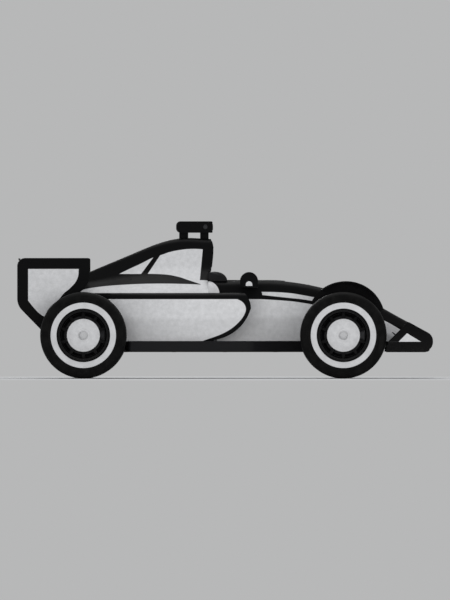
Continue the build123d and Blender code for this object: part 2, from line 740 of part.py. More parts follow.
REAR_SPAN = REAR_PLATE_Y - REAR_PLATE_WALL / 2


def rear_main_plane():
    lead = (REAR_PLATE_FRONT_X - 47, WING_TOP_Z - 79)
    return aerofoil(lead, (TAIL_X + 132, WING_TOP_Z - 51), 26, 34, 13, REAR_SPAN)


def rear_flap():
    """Upper element, with an upright lip along its trailing edge."""
    trail = (TAIL_X + 14, WING_TOP_Z - 15)
    flap = aerofoil((TAIL_X + 154, WING_TOP_Z - 75), trail, 10, 18, 8, REAR_SPAN)
    lip = box((trail[0] - 4, trail[0] + 2), (-REAR_SPAN, REAR_SPAN), (trail[1] - 2, trail[1] + 13))
    return flap + lip


def rear_beam_wing(case):
    lead = (REAR_AXLE_X - 262, TYRE_RADIUS + 96)
    return aerofoil(lead, (REAR_AXLE_X - 372, TYRE_RADIUS + 122), 8, 18, 8, REAR_SPAN) - case


def wing_pylons(plane, case):
    """Two struts from the gearbox to the wing's main plane."""
    foot, head = REAR_AXLE_X - 80, REAR_PLATE_FRONT_X - 227
    corners = [
        (foot, GEARBOX_TOP_Z - 10, 0), (foot - 110, GEARBOX_TOP_Z - 30, 0),
        (head - 100, WING_TOP_Z - 67, 0), (head, WING_TOP_Z - 67, 0),
    ]
    return [largest(side_plate(corners, y, PYLON_WALL) - plane - case) for y in (PYLON_Y, -PYLON_Y)]


# ---------------------------------------------------------------- front wing
def front_endplates():
    """Wedge-shaped side plates with a raked rear edge, a round tip and a foot plate."""
    rear, foot = NOSE_X - FRONT_PLATE_LENGTH, FLOOR_Z + FLOOR_EDGE_HEIGHT - 4
    corners = [
        (rear, FLOOR_Z, 8),
        (rear, foot, 0),
        (rear + 157, nose_line_z(rear + 157), 16),
        (NOSE_X, nose_line_z(NOSE_X), FRONT_WING_TIP_RADIUS),
        (NOSE_X, FLOOR_Z, min(FRONT_WING_TIP_RADIUS, NOSE_TIP_RISE - 50)),
    ]
    plate = side_plate(corners, FRONT_PLATE_Y, FRONT_PLATE_WALL)
    inner = FRONT_PLATE_Y - FRONT_PLATE_WALL / 2
    foot_plate = box(
        (rear + 20, NOSE_X - FRONT_WING_TIP_RADIUS), (inner - FOOT_PLATE_WIDTH, inner + 1),
        (FLOOR_Z, FLOOR_Z + FOOT_PLATE_WALL),
    )
    plate = plate + foot_plate
    return [plate, mirror(plate, about=Plane.XZ)]


FRONT_SPAN = FRONT_PLATE_Y - FRONT_PLATE_WALL / 2


def front_main_plane():
    lead_x = NOSE_X - FRONT_WING_SETBACK
    trail = (lead_x - FRONT_WING_CHORD, FLOOR_Z + 40)
    return aerofoil((lead_x, FLOOR_Z + 22), trail, 6, 22, 9, FRONT_SPAN)


def front_flaps():
    """Upper elements on each side of the nose."""
    half = (FRONT_SPAN - FLAP_INNER_Y) / 2
    middle = (FRONT_SPAN + FLAP_INNER_Y) / 2
    angle = math.radians(FLAP_ANGLE)
    trail_x = NOSE_X - FRONT_WING_SETBACK - FRONT_WING_CHORD
    lead = (trail_x + FLAP_CHORD * math.cos(angle), FLOOR_Z + 56)
    trail = (trail_x, lead[1] + FLAP_CHORD * math.sin(angle))
    flap = aerofoil(lead, trail, 10, 14, 6, half, middle)
    return [flap, mirror(flap, about=Plane.XZ)]


def nose_pylons(nose, plane):
    """Two short plates from the nose down to the wing's main plane."""
    low, high, rear = FLOOR_Z + 13, FLOOR_Z + 88, NOSE_X - 242
    corners = [(rear, low, 0), (rear + 150, low, 0), (rear + 130, high, 0), (rear - 20, high, 0)]
    pylons = []
    for y in (58.0, -58.0):
        pieces = (side_plate(corners, y, 10.0) - nose - plane).solids()
        pylons.append(min(pieces, key=lambda s: abs(s.center().Z - FLOOR_Z - 40)))
    return pylons


# ---------------------------------------------------------------- mirrors
def mirrors():
    """Half-round mirror housings on short arms from the cockpit sides."""
    low = MIRROR_Z - MIRROR_DROP
    dome = side_plate(
        [
            (MIRROR_X - MIRROR_RADIUS, low, 8),
            (MIRROR_X + MIRROR_RADIUS, low, 8),
            (MIRROR_X + MIRROR_RADIUS, MIRROR_Z + MIRROR_RADIUS, MIRROR_RADIUS - 1),
            (MIRROR_X - MIRROR_RADIUS, MIRROR_Z + MIRROR_RADIUS, MIRROR_RADIUS - 1),
        ],
        (MIRROR_INNER_Y + MIRROR_OUTER_Y) / 2, MIRROR_OUTER_Y - MIRROR_INNER_Y,
    )
    arm = box((MIRROR_X - 20, MIRROR_X + 20), (MIRROR_INNER_Y - 90, MIRROR_INNER_Y + 4), (low + 8, low + 18))
    left = largest((dome + arm) - tub_loft())
    return [left, mirror(left, about=Plane.XZ)]


# ---------------------------------------------------------------- wheels
def tyre(x, width, side):
    """Slick tyre ring on its rim seat."""
    outer, inner = HALF_WIDTH - RIM_LIP_WALL, HALF_WIDTH - width + RIM_LIP_WALL
    half = [
        (BEAD_RADIUS + 0.2, inner),
        (TYRE_RADIUS - TYRE_SHOULDER, inner),
        (TYRE_RADIUS, inner + TYRE_SHOULDER),
    ]
    other = [(radius, inner + outer - y) for radius, y in reversed(half)]
    return turned(half + other, x, side)


def rim(x, width, side):
    """Barrel with flanges, ten spokes and a dished centre."""
    outer, inner = HALF_WIDTH, HALF_WIDTH - width
    wall, lip, seat = BEAD_RADIUS - RIM_WALL, BEAD_RADIUS + RIM_LIP, BEAD_RADIUS
    side_in, side_out = inner + RIM_LIP_WALL, outer - RIM_LIP_WALL
    barrel = [
        (wall, inner), (lip, inner), (lip, side_in), (seat, side_in),
        (seat, side_out), (lip, side_out), (lip, outer), (wall, outer),
    ]
    face = HALF_WIDTH - RIM_FACE_INSET
    hole = SPINDLE_RADIUS - 6
    dish = [
        (hole, face), (DISH_RADIUS, face + 4), (DISH_RADIUS, face + DISH_WALL),
        (NUT_RADIUS + 14, face + DISH_WALL + DISH_CROWN), (hole, face + DISH_WALL + DISH_CROWN),
    ]
    body = turned(barrel, x, side) + turned(dish, x, side)
    middle = side * (face + 4 + SPOKE_DEPTH / 2)
    for index in range(SPOKES):
        bar = Box(wall - DISH_RADIUS + 16, SPOKE_DEPTH, SPOKE_WIDTH)
        spoke = Pos((DISH_RADIUS + wall) / 2 - 2, 0, 0) * bar
        body = body + Pos(x, middle, TYRE_RADIUS) * Rot(0, index * 360 / SPOKES, 0) * spoke
    return body


def hub(x, side, inner_end, shaft_end=None):
    """Spindle, flange, brake disc and wheel nut in one turned piece; a half shaft if driven."""
    face = HALF_WIDTH - RIM_FACE_INSET
    disc = face - FLANGE_WALL - DISC_GAP
    nose = SPINDLE_RADIUS - 6 - 0.2
    top = face + DISH_WALL + DISH_CROWN
    profile = [
        (0, inner_end), (SPINDLE_RADIUS, inner_end), (SPINDLE_RADIUS, disc - DISC_WALL),
        (DISC_RADIUS, disc - DISC_WALL), (DISC_RADIUS, disc), (FLANGE_RADIUS, disc),
        (FLANGE_RADIUS, face), (nose, face), (nose, top), (NUT_RADIUS, top),
        (NUT_RADIUS - 6, top + NUT_LENGTH), (0, top + NUT_LENGTH),
    ]
    body = turned(profile, x, side)
    if shaft_end is not None:
        end = inner_end + 1
        shaft = [(0, shaft_end), (HALF_SHAFT_RADIUS, shaft_end), (HALF_SHAFT_RADIUS, end), (0, end)]
        body = body + turned(shaft, x, side)
    return body


def upright(x, y, side):
    """Bearing block with the two ball-joint pins and a caliper over the disc."""
    face = HALF_WIDTH - RIM_FACE_INSET
    disc_outer = face - FLANGE_WALL - DISC_GAP
    disc_inner = disc_outer - DISC_WALL
    z = TYRE_RADIUS
    half = UPRIGHT_HALF_HEIGHT
    block = box(
        (x - UPRIGHT_LENGTH / 2, x + UPRIGHT_LENGTH / 2),
        (y - UPRIGHT_WIDTH / 2, y + UPRIGHT_WIDTH / 2),
        (z - half, z + half),
    )
    pins = [
        upright_cylinder(x, y, z + half - 1, z + half + PIN_LENGTH, PIN_RADIUS),
        upright_cylinder(x, y, z - half - PIN_LENGTH + 8, z - half + 1, PIN_RADIUS),
    ]
    ahead = (x + DISC_RADIUS - CALIPER_REACH, x + DISC_RADIUS + CALIPER_WALL)
    caliper = box(
        ahead,
        (disc_inner - CALIPER_GAP - CALIPER_WALL, disc_outer + CALIPER_GAP + CALIPER_WALL),
        (z - CALIPER_HEIGHT / 2, z + CALIPER_HEIGHT / 2),
    )
    round_slot = Cylinder(DISC_RADIUS + CALIPER_GAP, DISC_WALL + 2 * CALIPER_GAP)
    slot = Pos(x, (disc_inner + disc_outer) / 2, z) * Rot(90, 0, 0) * round_slot
    bracket = box(
        (x, ahead[1]),
        (y + UPRIGHT_WIDTH / 2 - 14, disc_inner - CALIPER_GAP - 1),
        (z - 26, z + 26),
    )
    spindle = Pos(x, face, z) * Rot(90, 0, 0) * Cylinder(SPINDLE_RADIUS + FIT, 4 * HALF_WIDTH)
    body = joined([block, *pins, caliper - slot, bracket]) - spindle
    return body if side > 0 else mirror(body, about=Plane.XZ)


# ---------------------------------------------------------------- front corner
KINGPIN_TOP_Z = TYRE_RADIUS + UPRIGHT_HALF_HEIGHT + PIN_LENGTH


def front_upright(side):
    """Front upright with its steering arm and track-rod pin."""
    body = upright(FRONT_AXLE_X, FRONT_KINGPIN_Y, 1)
    z_low, z_high = STEER_ARM_Z - STEER_ARM_WALL / 2, STEER_ARM_Z + STEER_ARM_WALL / 2
    pin_x = FRONT_AXLE_X - STEER_ARM
    arm = box(
        (pin_x - STEER_ARM_WIDTH / 2, FRONT_AXLE_X - UPRIGHT_LENGTH / 2 + 1),
        (FRONT_KINGPIN_Y - STEER_ARM_WIDTH / 2, FRONT_KINGPIN_Y + STEER_ARM_WIDTH / 2),
        (z_low, z_high),
    )
    pin_top = z_high + TRACK_ROD_GAP + 2 * TRACK_ROD_RADIUS + 6
    pin = upright_cylinder(pin_x, FRONT_KINGPIN_Y, z_high - 1, pin_top, TRACK_PIN_RADIUS)
    body = joined([body, arm, pin, brake_scoop()])
    return body if side > 0 else mirror(body, about=Plane.XZ)


SCOOP_LENGTH = 120.0
SCOOP_WIDTH = 34.0
SCOOP_HEIGHT = 110.0
SCOOP_WALL = 4.0


def brake_scoop():
    """Cooling scoop on the inner side of the front upright, open in front."""
    back = FRONT_AXLE_X + UPRIGHT_LENGTH / 2
    inner = FRONT_KINGPIN_Y - UPRIGHT_WIDTH / 2 - 8
    low, high = TYRE_RADIUS - SCOOP_HEIGHT / 2, TYRE_RADIUS + SCOOP_HEIGHT / 2
    outer = box((back - 2, back + SCOOP_LENGTH), (inner - SCOOP_WIDTH + 30, inner + 30), (low, high))
    w = SCOOP_WALL
    hollow = box(
        (back + w, back + SCOOP_LENGTH + w),
        (inner - SCOOP_WIDTH + 30 + w, inner + 30 - w),
        (low + w, high - w),
    )
    return outer - hollow


DEFLECTOR_X = FRONT_AXLE_X + 21.0
DEFLECTOR_Z = TYRE_RADIUS + 116.0
DEFLECTOR_RADIUS = 309.0
DEFLECTOR_DEPTH = 112.0
DEFLECTOR_WALL = 10.0
DEFLECTOR_WIDTH = 145.0
DEFLECTOR_PLATE_Y = FRONT_TYRE_INNER_Y - 2 * DEFLECTOR_WALL
DEFLECTOR_OUTER_Y = DEFLECTOR_PLATE_Y + DEFLECTOR_WIDTH


def wheel_deflector(side):
    """Arched winglet over the front tyre: an inboard crescent plate and a curved top blade."""
    def disc(radius, y_low, y_high):
        turn = Pos(DEFLECTOR_X, (y_low + y_high) / 2, DEFLECTOR_Z) * Rot(90, 0, 0)
        return turn * Cylinder(radius, y_high - y_low)

    def sector(y_low, y_high, front_angle, rear_angle):
        reach = 2 * DEFLECTOR_RADIUS
        front, rear = math.radians(front_angle), math.radians(rear_angle)
        wedge = make_face(
            Polyline(
                (DEFLECTOR_X, DEFLECTOR_Z),
                (DEFLECTOR_X + reach * math.cos(front), DEFLECTOR_Z + reach * math.sin(front)),
                (DEFLECTOR_X, DEFLECTOR_Z + 2 * reach),
                (DEFLECTOR_X + reach * math.cos(rear), DEFLECTOR_Z + reach * math.sin(rear)),
                close=True,
            )
        )
        face = Plane.XZ * wedge
        return Pos(0, (y_low + y_high) / 2, 0) * extrude(face, amount=(y_high - y_low) / 2, both=True)

    plate_end = DEFLECTOR_PLATE_Y + DEFLECTOR_WALL
    inner_radius = DEFLECTOR_RADIUS - DEFLECTOR_DEPTH
    plate_y = DEFLECTOR_PLATE_Y
    plate = disc(DEFLECTOR_RADIUS, plate_y, plate_end) - disc(inner_radius, plate_y - 1, plate_end + 1)
    plate = plate & sector(DEFLECTOR_PLATE_Y, plate_end, 16, 150)
    blade_radius = DEFLECTOR_RADIUS - DEFLECTOR_WALL
    blade = disc(DEFLECTOR_RADIUS, plate_y, DEFLECTOR_OUTER_Y)
    blade = blade - disc(blade_radius, plate_y - 1, DEFLECTOR_OUTER_Y + 1)
    blade = blade & sector(DEFLECTOR_PLATE_Y, DEFLECTOR_OUTER_Y, 40, 128)
    foot_z = KINGPIN_TOP_Z
    neck = box(
        (FRONT_AXLE_X - 34, FRONT_AXLE_X + 34),
        (plate_y, plate_end),
        (foot_z, DEFLECTOR_Z + inner_radius + 20),
    )
    foot = box(
        (FRONT_AXLE_X - 22, FRONT_AXLE_X + 22),
        (plate_y, FRONT_KINGPIN_Y + 18),
        (foot_z, foot_z + 16),
    )
    body = joined([plate, blade, neck, foot])
    return body if side > 0 else mirror(body, about=Plane.XZ)


# ---------------------------------------------------------------- suspension
def wishbone(x, y, z, inner_y, inner_z, half_spread):
    """An A-arm from its outer eye to two pickups on the body."""
    eye = upright_cylinder(x, y, z - EYE_HEIGHT / 2, z + EYE_HEIGHT / 2, PIN_RADIUS + EYE_WALL)
    feet = [(x + offset, inner_y, inner_z) for offset in (half_spread, -half_spread)]
    legs = [rod((x, y, z), foot, ARM_RADIUS) for foot in feet]
    bore = upright_cylinder(x, y, z - 100, z + 100, PIN_RADIUS + FIT)
    clear = upright_cylinder(x, y, z + EYE_HEIGHT / 2, z + 60, PIN_RADIUS + EYE_WALL + 4) + upright_cylinder(
        x, y, z - 60, z - EYE_HEIGHT / 2, PIN_RADIUS + EYE_WALL + 4)
    return joined([eye, *legs]) - bore - clear


UPPER_EYE_Z = TYRE_RADIUS + UPRIGHT_HALF_HEIGHT + EYE_LIFT + EYE_HEIGHT / 2
LOWER_EYE_Z = TYRE_RADIUS - UPRIGHT_HALF_HEIGHT - EYE_LIFT - EYE_HEIGHT / 2


def largest(shape):
    """The largest solid of a shape."""
    return max(shape.solids(), key=lambda solid: solid.volume)


def arm_set(x, y, pickups, half_spread, push_from, push_to, body):
    """Upper and lower arms and a push rod on both sides, trimmed where they meet the body."""
    arms = []
    for eye_z, inner_y, inner_z in pickups:
        arms.append(largest(wishbone(x, y, eye_z, inner_y, inner_z, half_spread) - body))
    arms.append(largest(rod(push_from, push_to, PUSHROD_RADIUS) - body - arms[-1]))
    return arms + [mirror(arm, about=Plane.XZ) for arm in arms]


def front_wishbones(tub):
    pickups = ((UPPER_EYE_Z, 170.0, UPPER_EYE_Z + 28), (LOWER_EYE_Z, 140.0, LOWER_EYE_Z + 54))
    start = (FRONT_AXLE_X, FRONT_KINGPIN_Y - 46, LOWER_EYE_Z + 4)
    stop = (FRONT_AXLE_X, 150.0, UPPER_EYE_Z + 118)
    return arm_set(FRONT_AXLE_X, FRONT_KINGPIN_Y, pickups, ARM_HALF_SPREAD, start, stop, tub)


def rear_wishbones(case):
    inner_y = GEARBOX_HALF_WIDTH - 30
    pickups = ((UPPER_EYE_Z, inner_y, UPPER_EYE_Z + 8), (LOWER_EYE_Z, inner_y, LOWER_EYE_Z + 112))
    start = (REAR_AXLE_X - 25, REAR_UPRIGHT_Y - 100, LOWER_EYE_Z + 24)
    stop = (REAR_AXLE_X - 60, GEARBOX_HALF_WIDTH - 10, GEARBOX_TOP_Z - 40)
    return arm_set(REAR_AXLE_X, REAR_UPRIGHT_Y, pickups, REAR_ARM_HALF_SPREAD, start, stop, case)


# ---------------------------------------------------------------- steering
def steering_rack():
    """Rack bar and both track rods in one piece, with an eye at each end."""
    bar = rod(
        (TRACK_ROD_X, -FRONT_KINGPIN_Y + TRACK_EYE_BORE + 4, TRACK_ROD_Z),
        (TRACK_ROD_X, FRONT_KINGPIN_Y - TRACK_EYE_BORE - 4, TRACK_ROD_Z), TRACK_ROD_RADIUS,
    )
    half = TRACK_ROD_RADIUS + TRACK_EYE_LIP
    low, high = TRACK_ROD_Z - half, TRACK_ROD_Z + half
    for y in (FRONT_KINGPIN_Y, -FRONT_KINGPIN_Y):
        bar = bar + upright_cylinder(TRACK_ROD_X, y, low, high, TRACK_EYE_RADIUS)
        bar = bar - upright_cylinder(TRACK_ROD_X, y, low - 10, high + 10, TRACK_EYE_BORE)
    return bar


def rack_housing():
    """Tube on the monocoque's floor in which the rack slides."""
    x, z = TRACK_ROD_X, TRACK_ROD_Z
    low = FLOOR_TOP_Z + TUB_WALL
    body = box((x - 24, x + 24), (-90, 90), (low, z + 24))
    return body - rod((x, -100, z), (x, 100, z), TRACK_ROD_RADIUS + FIT)


def column_point(along):
    """A point on the steering column's line, measured forwards from the wheel's face."""
    angle = math.radians(COLUMN_ANGLE)
    return (STEERING_WHEEL_X + along * math.cos(angle), 0, STEERING_WHEEL_Z - along * math.sin(angle))


def column_bar(radius):
    return rod(column_point(0), column_point(COLUMN_LENGTH), radius)


def steering_column():
    return column_bar(COLUMN_RADIUS)


def steering_wheel():
    """Flat-topped rim with side grips and a solid centre plate."""
    angle = math.radians(COLUMN_ANGLE)
    plane = Plane(origin=column_point(0), x_dir=(0, 1, 0), z_dir=(-math.cos(angle), 0, math.sin(angle)))
    w, h = STEERING_WHEEL_HALF_WIDTH, STEERING_WHEEL_HALF_HEIGHT
    outer = outline(plane, [(-w, -h, 44), (w, -h, 44), (w, h, 40), (-w, h, 40)])
    hand = [
        outline(plane, [(a, -h + 26, 16), (b, -h + 26, 16), (b, h - 26, 16), (a, h - 26, 16)])
        for a, b in ((-w + 28, -w + 70), (w - 70, w - 28))
    ]
    body = extrude(outer, amount=STEERING_WHEEL_WALL)
    for hole in hand:
        body = body - extrude(hole, amount=STEERING_WHEEL_WALL)
    return body


# ---------------------------------------------------------------- assembly
def build():
    tub, nose, cover, case = monocoque(), nose_cone(), engine_cover(), gearbox_case()
    tub_solid = tub_loft()
    parts["monocoque"] = tub
    parts["nose_cone"] = nose
    parts["engine_cover"] = cover
    parts["gearbox_case"] = case
    parts["headrest_pad"] = headrest_pad()
    parts["seat_shell"] = seat_shell()
    parts["dash_bulkhead"] = dash_bulkhead()
    parts["floor_tray"] = floor_tray()
    parts["diffuser"] = diffuser()
    parts["radiators"] = radiators()
    parts["camera_pod"] = camera_pod(cover_loft())
    parts["engine_block"] = engine_block()
    parts["exhaust_pipe"] = exhaust_pipe() - case
    parts["rain_light"] = rain_light()
    parts["rear_endplates"] = rear_endplates()
    plane = rear_main_plane()
    parts["rear_wing_planes"] = [plane, rear_flap(), rear_beam_wing(case)]
    parts["front_endplates"] = front_endplates()
    wing = front_main_plane()
    parts["front_wing_planes"] = [wing, *front_flaps()]
    parts["wing_pylons"] = wing_pylons(plane, case) + nose_pylons(nose, wing)
    parts["mirrors"] = mirrors()
    parts["front_wishbones"] = front_wishbones(tub_solid)
    parts["rear_wishbones"] = rear_wishbones(case)
    parts["steering_rack"] = steering_rack()
    parts["rack_housing"] = rack_housing()
    parts["steering_column"] = steering_column()
    parts["steering_wheel"] = steering_wheel()
    parts["rear_uprights"] = [upright(REAR_AXLE_X, REAR_UPRIGHT_Y, side) for side in SIDES.values()]
    for name, side in SIDES.items():
        parts[f"sidepod_{name}"] = sidepod(side)
        parts[f"front_{name}_upright"] = front_upright(side)
        parts[f"front_{name}_deflector"] = wheel_deflector(side)
        front_end = FRONT_KINGPIN_Y - UPRIGHT_WIDTH / 2
        rear_end = REAR_UPRIGHT_Y - UPRIGHT_WIDTH / 2
        # Columns: axle, x, tyre width, spindle's inner end, half shaft's inner end
        for axle, x, width, inner_end, shaft_end in (
            ("front", FRONT_AXLE_X, FRONT_TYRE_WIDTH, front_end, None),
            ("rear", REAR_AXLE_X, REAR_TYRE_WIDTH, rear_end, GEARBOX_HALF_WIDTH - 30),
        ):
            parts[f"{axle}_{name}_tyre"] = tyre(x, width, side)
            parts[f"{axle}_{name}_rim"] = rim(x, width, side)
            parts[f"{axle}_{name}_hub"] = hub(x, side, inner_end, shaft_end)


build()
os.makedirs("parts", exist_ok=True)
for node, shape in parts.items():
    export_step(one(shape), f"parts/{node}.step")
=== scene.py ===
"""Open wheel racing car: its finishes and modelled pieces, set on the fixed frame."""
import math
from functools import reduce

import bmesh
import bpy
from mathutils import Matrix, Vector


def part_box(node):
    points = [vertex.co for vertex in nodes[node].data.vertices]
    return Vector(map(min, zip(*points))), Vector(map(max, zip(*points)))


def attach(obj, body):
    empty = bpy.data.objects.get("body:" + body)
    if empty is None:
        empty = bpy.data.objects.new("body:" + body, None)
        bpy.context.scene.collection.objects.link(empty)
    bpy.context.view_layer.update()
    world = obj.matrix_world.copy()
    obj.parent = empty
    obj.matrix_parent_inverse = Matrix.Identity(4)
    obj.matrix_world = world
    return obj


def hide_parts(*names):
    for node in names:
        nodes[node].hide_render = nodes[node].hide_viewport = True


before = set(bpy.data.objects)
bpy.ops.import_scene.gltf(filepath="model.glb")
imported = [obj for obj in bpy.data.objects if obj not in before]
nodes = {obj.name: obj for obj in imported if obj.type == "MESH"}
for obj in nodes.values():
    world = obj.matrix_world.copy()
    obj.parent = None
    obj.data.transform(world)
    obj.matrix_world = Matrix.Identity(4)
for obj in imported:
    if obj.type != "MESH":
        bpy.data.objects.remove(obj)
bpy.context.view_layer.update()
scene = bpy.context.scene

# ---- monocoque
# The tub is a one-piece carbon shell that carries the driver and every load of the car.
# It is laid up in a mould, cured, then filled and sprayed in satin grey with a black deck,
# a black belt line and a black cockpit surround.
PALE_GREY = (0.47, 0.47, 0.475, 1)
DEEP_BLACK = (0.0012, 0.0012, 0.0014, 1)
DUST = (0.16, 0.15, 0.14, 1)
PAINT_EDGE = 0.002


def add(tree, kind, inputs=None, **settings):
    """A shader node with its settings made and its inputs set or linked."""
    made = tree.nodes.new("ShaderNode" + kind)
    for name, value in settings.items():
        setattr(made, name, value)
    for name, value in (inputs or {}).items():
        if isinstance(value, bpy.types.NodeSocket):
            tree.links.new(value, made.inputs[name])
        else:
            made.inputs[name].default_value = value
    return made


def maths(operation, *values):
    """A Math node in the tree of the sockets that it is given."""
    tree = next(value for value in values if isinstance(value, bpy.types.NodeSocket)).id_data
    return add(tree, "Math", dict(enumerate(values)), operation=operation).outputs[0]


def times(one, other):
    return maths("MULTIPLY", one, other)


def less(one, other):
    return maths("SUBTRACT", one, other)


def scaled(value, by, plus):
    return maths("MULTIPLY_ADD", value, by, plus)


def stretch(value, low, high, new_low=0.0, new_high=1.0):
    """Maps low..high of a value to new_low..new_high, held at both ends."""
    inputs = dict(enumerate((value, low, high, new_low, new_high)))
    return add(value.id_data, "MapRange", inputs).outputs[0]


def noise(vector, scale, detail=3.0):
    inputs = {"Vector": vector, "Scale": scale, "Detail": detail}
    return add(vector.id_data, "TexNoise", inputs).outputs["Fac"]


def parts(vector):
    """Its x, y and z."""
    return add(vector.id_data, "SeparateXYZ", {0: vector}).outputs


def blended(share, one, other):
    """Mixes two colours by share."""
    return add(share.id_data, "Mix", {0: share, 6: one, 7: other}, data_type="RGBA").outputs[2]


def toned(colour, strength):
    inputs = {0: colour, "Scale": strength}
    return add(colour.id_data, "VectorMath", inputs, operation="SCALE").outputs[0]


def new_group(name, **inputs):
    """A finish's node group with the given inputs; it puts out Color, Roughness and Height."""
    group = bpy.data.node_groups.new(name, "ShaderNodeTree")
    outputs = {"Color": "Color", "Roughness": "Float", "Height": "Float"}
    for way, sockets in (("INPUT", inputs), ("OUTPUT", outputs)):
        for label, kind in sockets.items():
            group.interface.new_socket(label, in_out=way, socket_type="NodeSocket" + kind)
    return group, group.nodes.new("NodeGroupInput").outputs


def put_out(group, *results):
    """Feeds the group's three outputs."""
    for result, socket in zip(results, group.nodes.new("NodeGroupOutput").inputs):
        group.links.new(result, socket)
    return group


def use_group(group, **inputs):
    return add(inputs["Vector"].id_data, "Group", inputs, node_tree=group).outputs


def make_paint_group():
    """Satin paint in two tones: mottled pale coat, deep black coat, orange peel, settled dust."""
    group, given = new_group("satin paint", Vector="Vector", Mask="Float", Pale="Color", Dark="Color")
    vector = given["Vector"]
    cloud = stretch(noise(vector, 30, 5), 0.3, 0.7)
    fleck = stretch(noise(vector, 180), 0.35, 0.65)
    pale = toned(given["Pale"], scaled(cloud, 0.14, scaled(fleck, 0.1, 0.88)))
    colour = blended(given["Mask"], pale, given["Dark"])
    facing = parts(add(group, "NewGeometry").outputs["Normal"])[2]
    settled = times(stretch(facing, 0.6, 1), stretch(cloud, 0.3, 1))
    low_down = times(stretch(parts(vector)[2], 0.4, 0.2), fleck)
    dust = scaled(settled, 0.02, times(low_down, 0.03))
    rough = scaled(cloud, 0.1, scaled(dust, 1.5, 0.36))
    peel = scaled(noise(vector, 260, 1), 0.5, times(fleck, 0.15))
    return put_out(group, blended(dust, colour, DUST), rough, peel)


paint_group = make_paint_group()


def new_material(name, **settings):
    """A node material with its shader's constants, and the vector of a point's place on the car."""
    material = bpy.data.materials.new(name)
    material.use_nodes = True
    for label, value in settings.items():
        material.node_tree.nodes["Principled BSDF"].inputs[label.replace("_", " ")].default_value = value
    return material, add(material.node_tree, "TexCoord").outputs["Object"]


def finish_with(material, colour, roughness=None, height=None, depth=0.0006):
    """Feeds the material's shader; height makes fine relief of the given depth."""
    tree = material.node_tree
    shader = tree.nodes["Principled BSDF"]
    tree.links.new(colour, shader.inputs["Base Color"])
    if roughness is not None:
        tree.links.new(roughness, shader.inputs["Roughness"])
    if height is not None:
        relief = add(tree, "Bump", {"Height": height, "Strength": 0.6, "Distance": depth})
        tree.links.new(relief.outputs[0], shader.inputs["Normal"])
    return material


def past(along, across, line):
    """1 where across is past a line of (along, across) points, 0 before it; flat beyond its ends."""
    first, last = line[0][0], line[-1][0]
    low, high = min(b for _, b in line), max(b for _, b in line)
    curve = add(along.id_data, "FloatCurve", {"Value": stretch(along, first, last)})
    points = curve.mapping.curves[0].points
    spots = [((a - first) / (last - first), (b - low) / (high - low)) for a, b in line]
    points[0].location, points[1].location = spots[0], spots[-1]
    for spot in spots[1:-1]:
        points.new(*spot)
    curve.mapping.update()
    edge = scaled(curve.outputs[0], high - low, low)
    return stretch(less(across, edge), -PAINT_EDGE / 2, PAINT_EDGE / 2)


def within(value, low, high):
    """1 where low < value < high."""
    return less(*(stretch(value, edge - PAINT_EDGE / 2, edge + PAINT_EDGE / 2) for edge in (low, high)))


def outside(mask):
    return less(1, mask)


def both(*masks):
    return reduce(lambda one, other: maths("MINIMUM", one, other), masks)


def either(*masks):
    return reduce(lambda one, other: maths("MAXIMUM", one, other), masks)


def inner_face(y, z, middle_y, middle_z):
    """1 on the faces of a shell or duct that look at its middle line, on both sides of the car."""
    normal = parts(add(y.id_data, "NewGeometry").outputs["True Normal"])
    outward = times(normal[1], maths("SIGN", y))
    rise = times(normal[2], less(z, middle_z))
    return maths("LESS_THAN", scaled(outward, less(maths("ABSOLUTE", y), middle_y), rise), -0.005)


def painted(name, black_area):
    """Two-tone body paint; black_area(x, y, z) gives its mask."""
    material, vector = new_material(name, Specular_IOR_Level=0.12)
    mask = black_area(*parts(vector))
    results = use_group(paint_group, Vector=vector, Mask=mask, Pale=PALE_GREY, Dark=DEEP_BLACK)
    return finish_with(material, *results)


def dress(material, *names):
    """Gives CAD nodes their finish."""
    for name in names:
        nodes[name].data.materials.clear()
        nodes[name].data.materials.append(material)


# Borders of the black areas in side view, as (x, z) points, and their ranges on one axis
DECK_EDGE = [
    (0.29, 0.681), (0.512, 0.671), (0.59, 0.659), (0.73, 0.632), (0.88, 0.592),
    (1.05, 0.545), (1.249, 0.458), (1.385, 0.382), (1.428, 0.356), (1.537, 0.29),
]
LINE_TOP = [(0.29, 0.657), (0.512, 0.633), (0.59, 0.625), (0.716, 0.605)]
LINE_BOTTOM = [(0.16, 0.629), (0.512, 0.608), (0.59, 0.598), (0.69, 0.581)]
LINE_END = 0.735
HOOD_BORDER = [(-0.194, 0.773), (-0.104, 0.759), (-0.064, 0.727), (-0.044, 0.683), (-0.04, 0.6)]
SURROUND_X = (-0.044, 0.29)
BELT_Z, FLOOR_BAND_Z = (0.6235, 0.672), (0, 0.292)
NOSE_JOINT_X = (1.088, 1.092)
COCKPIT_X, COCKPIT_HALF_WIDTH = (-0.4, 0.5), 0.21


def tub_black(x, y, z):
    """Deck, cockpit and its surround, belt line, floor band and the joint to the nose."""
    rear, front = SURROUND_X
    deck = both(past(x, z, DECK_EDGE), within(x, front - 0.004, 2))
    line_foot = past(x, z, LINE_BOTTOM)
    line = both(line_foot, outside(past(x, z, LINE_TOP)), within(x, front - 0.01, LINE_END + 0.002))
    surround = both(within(x, rear, front), within(z, BELT_Z[0], 0.9))
    hood = both(past(x, z, HOOD_BORDER), within(x, -0.2, rear + 0.004))
    line_end = both(within(x, LINE_END, 1.0), within(z, 0.58, 0.7))
    belt = both(within(x, -1.4, front + 0.004), within(z, *BELT_Z))
    middle = within(maths("ABSOLUTE", y), -1, COCKPIT_HALF_WIDTH)
    cockpit = either(both(middle, within(x, *COCKPIT_X)), inner_face(y, z, 0, 0.5))
    edges = within(x, *NOSE_JOINT_X), within(z, *FLOOR_BAND_Z)
    return either(deck, line, surround, hood, line_end, belt, *edges, cockpit)


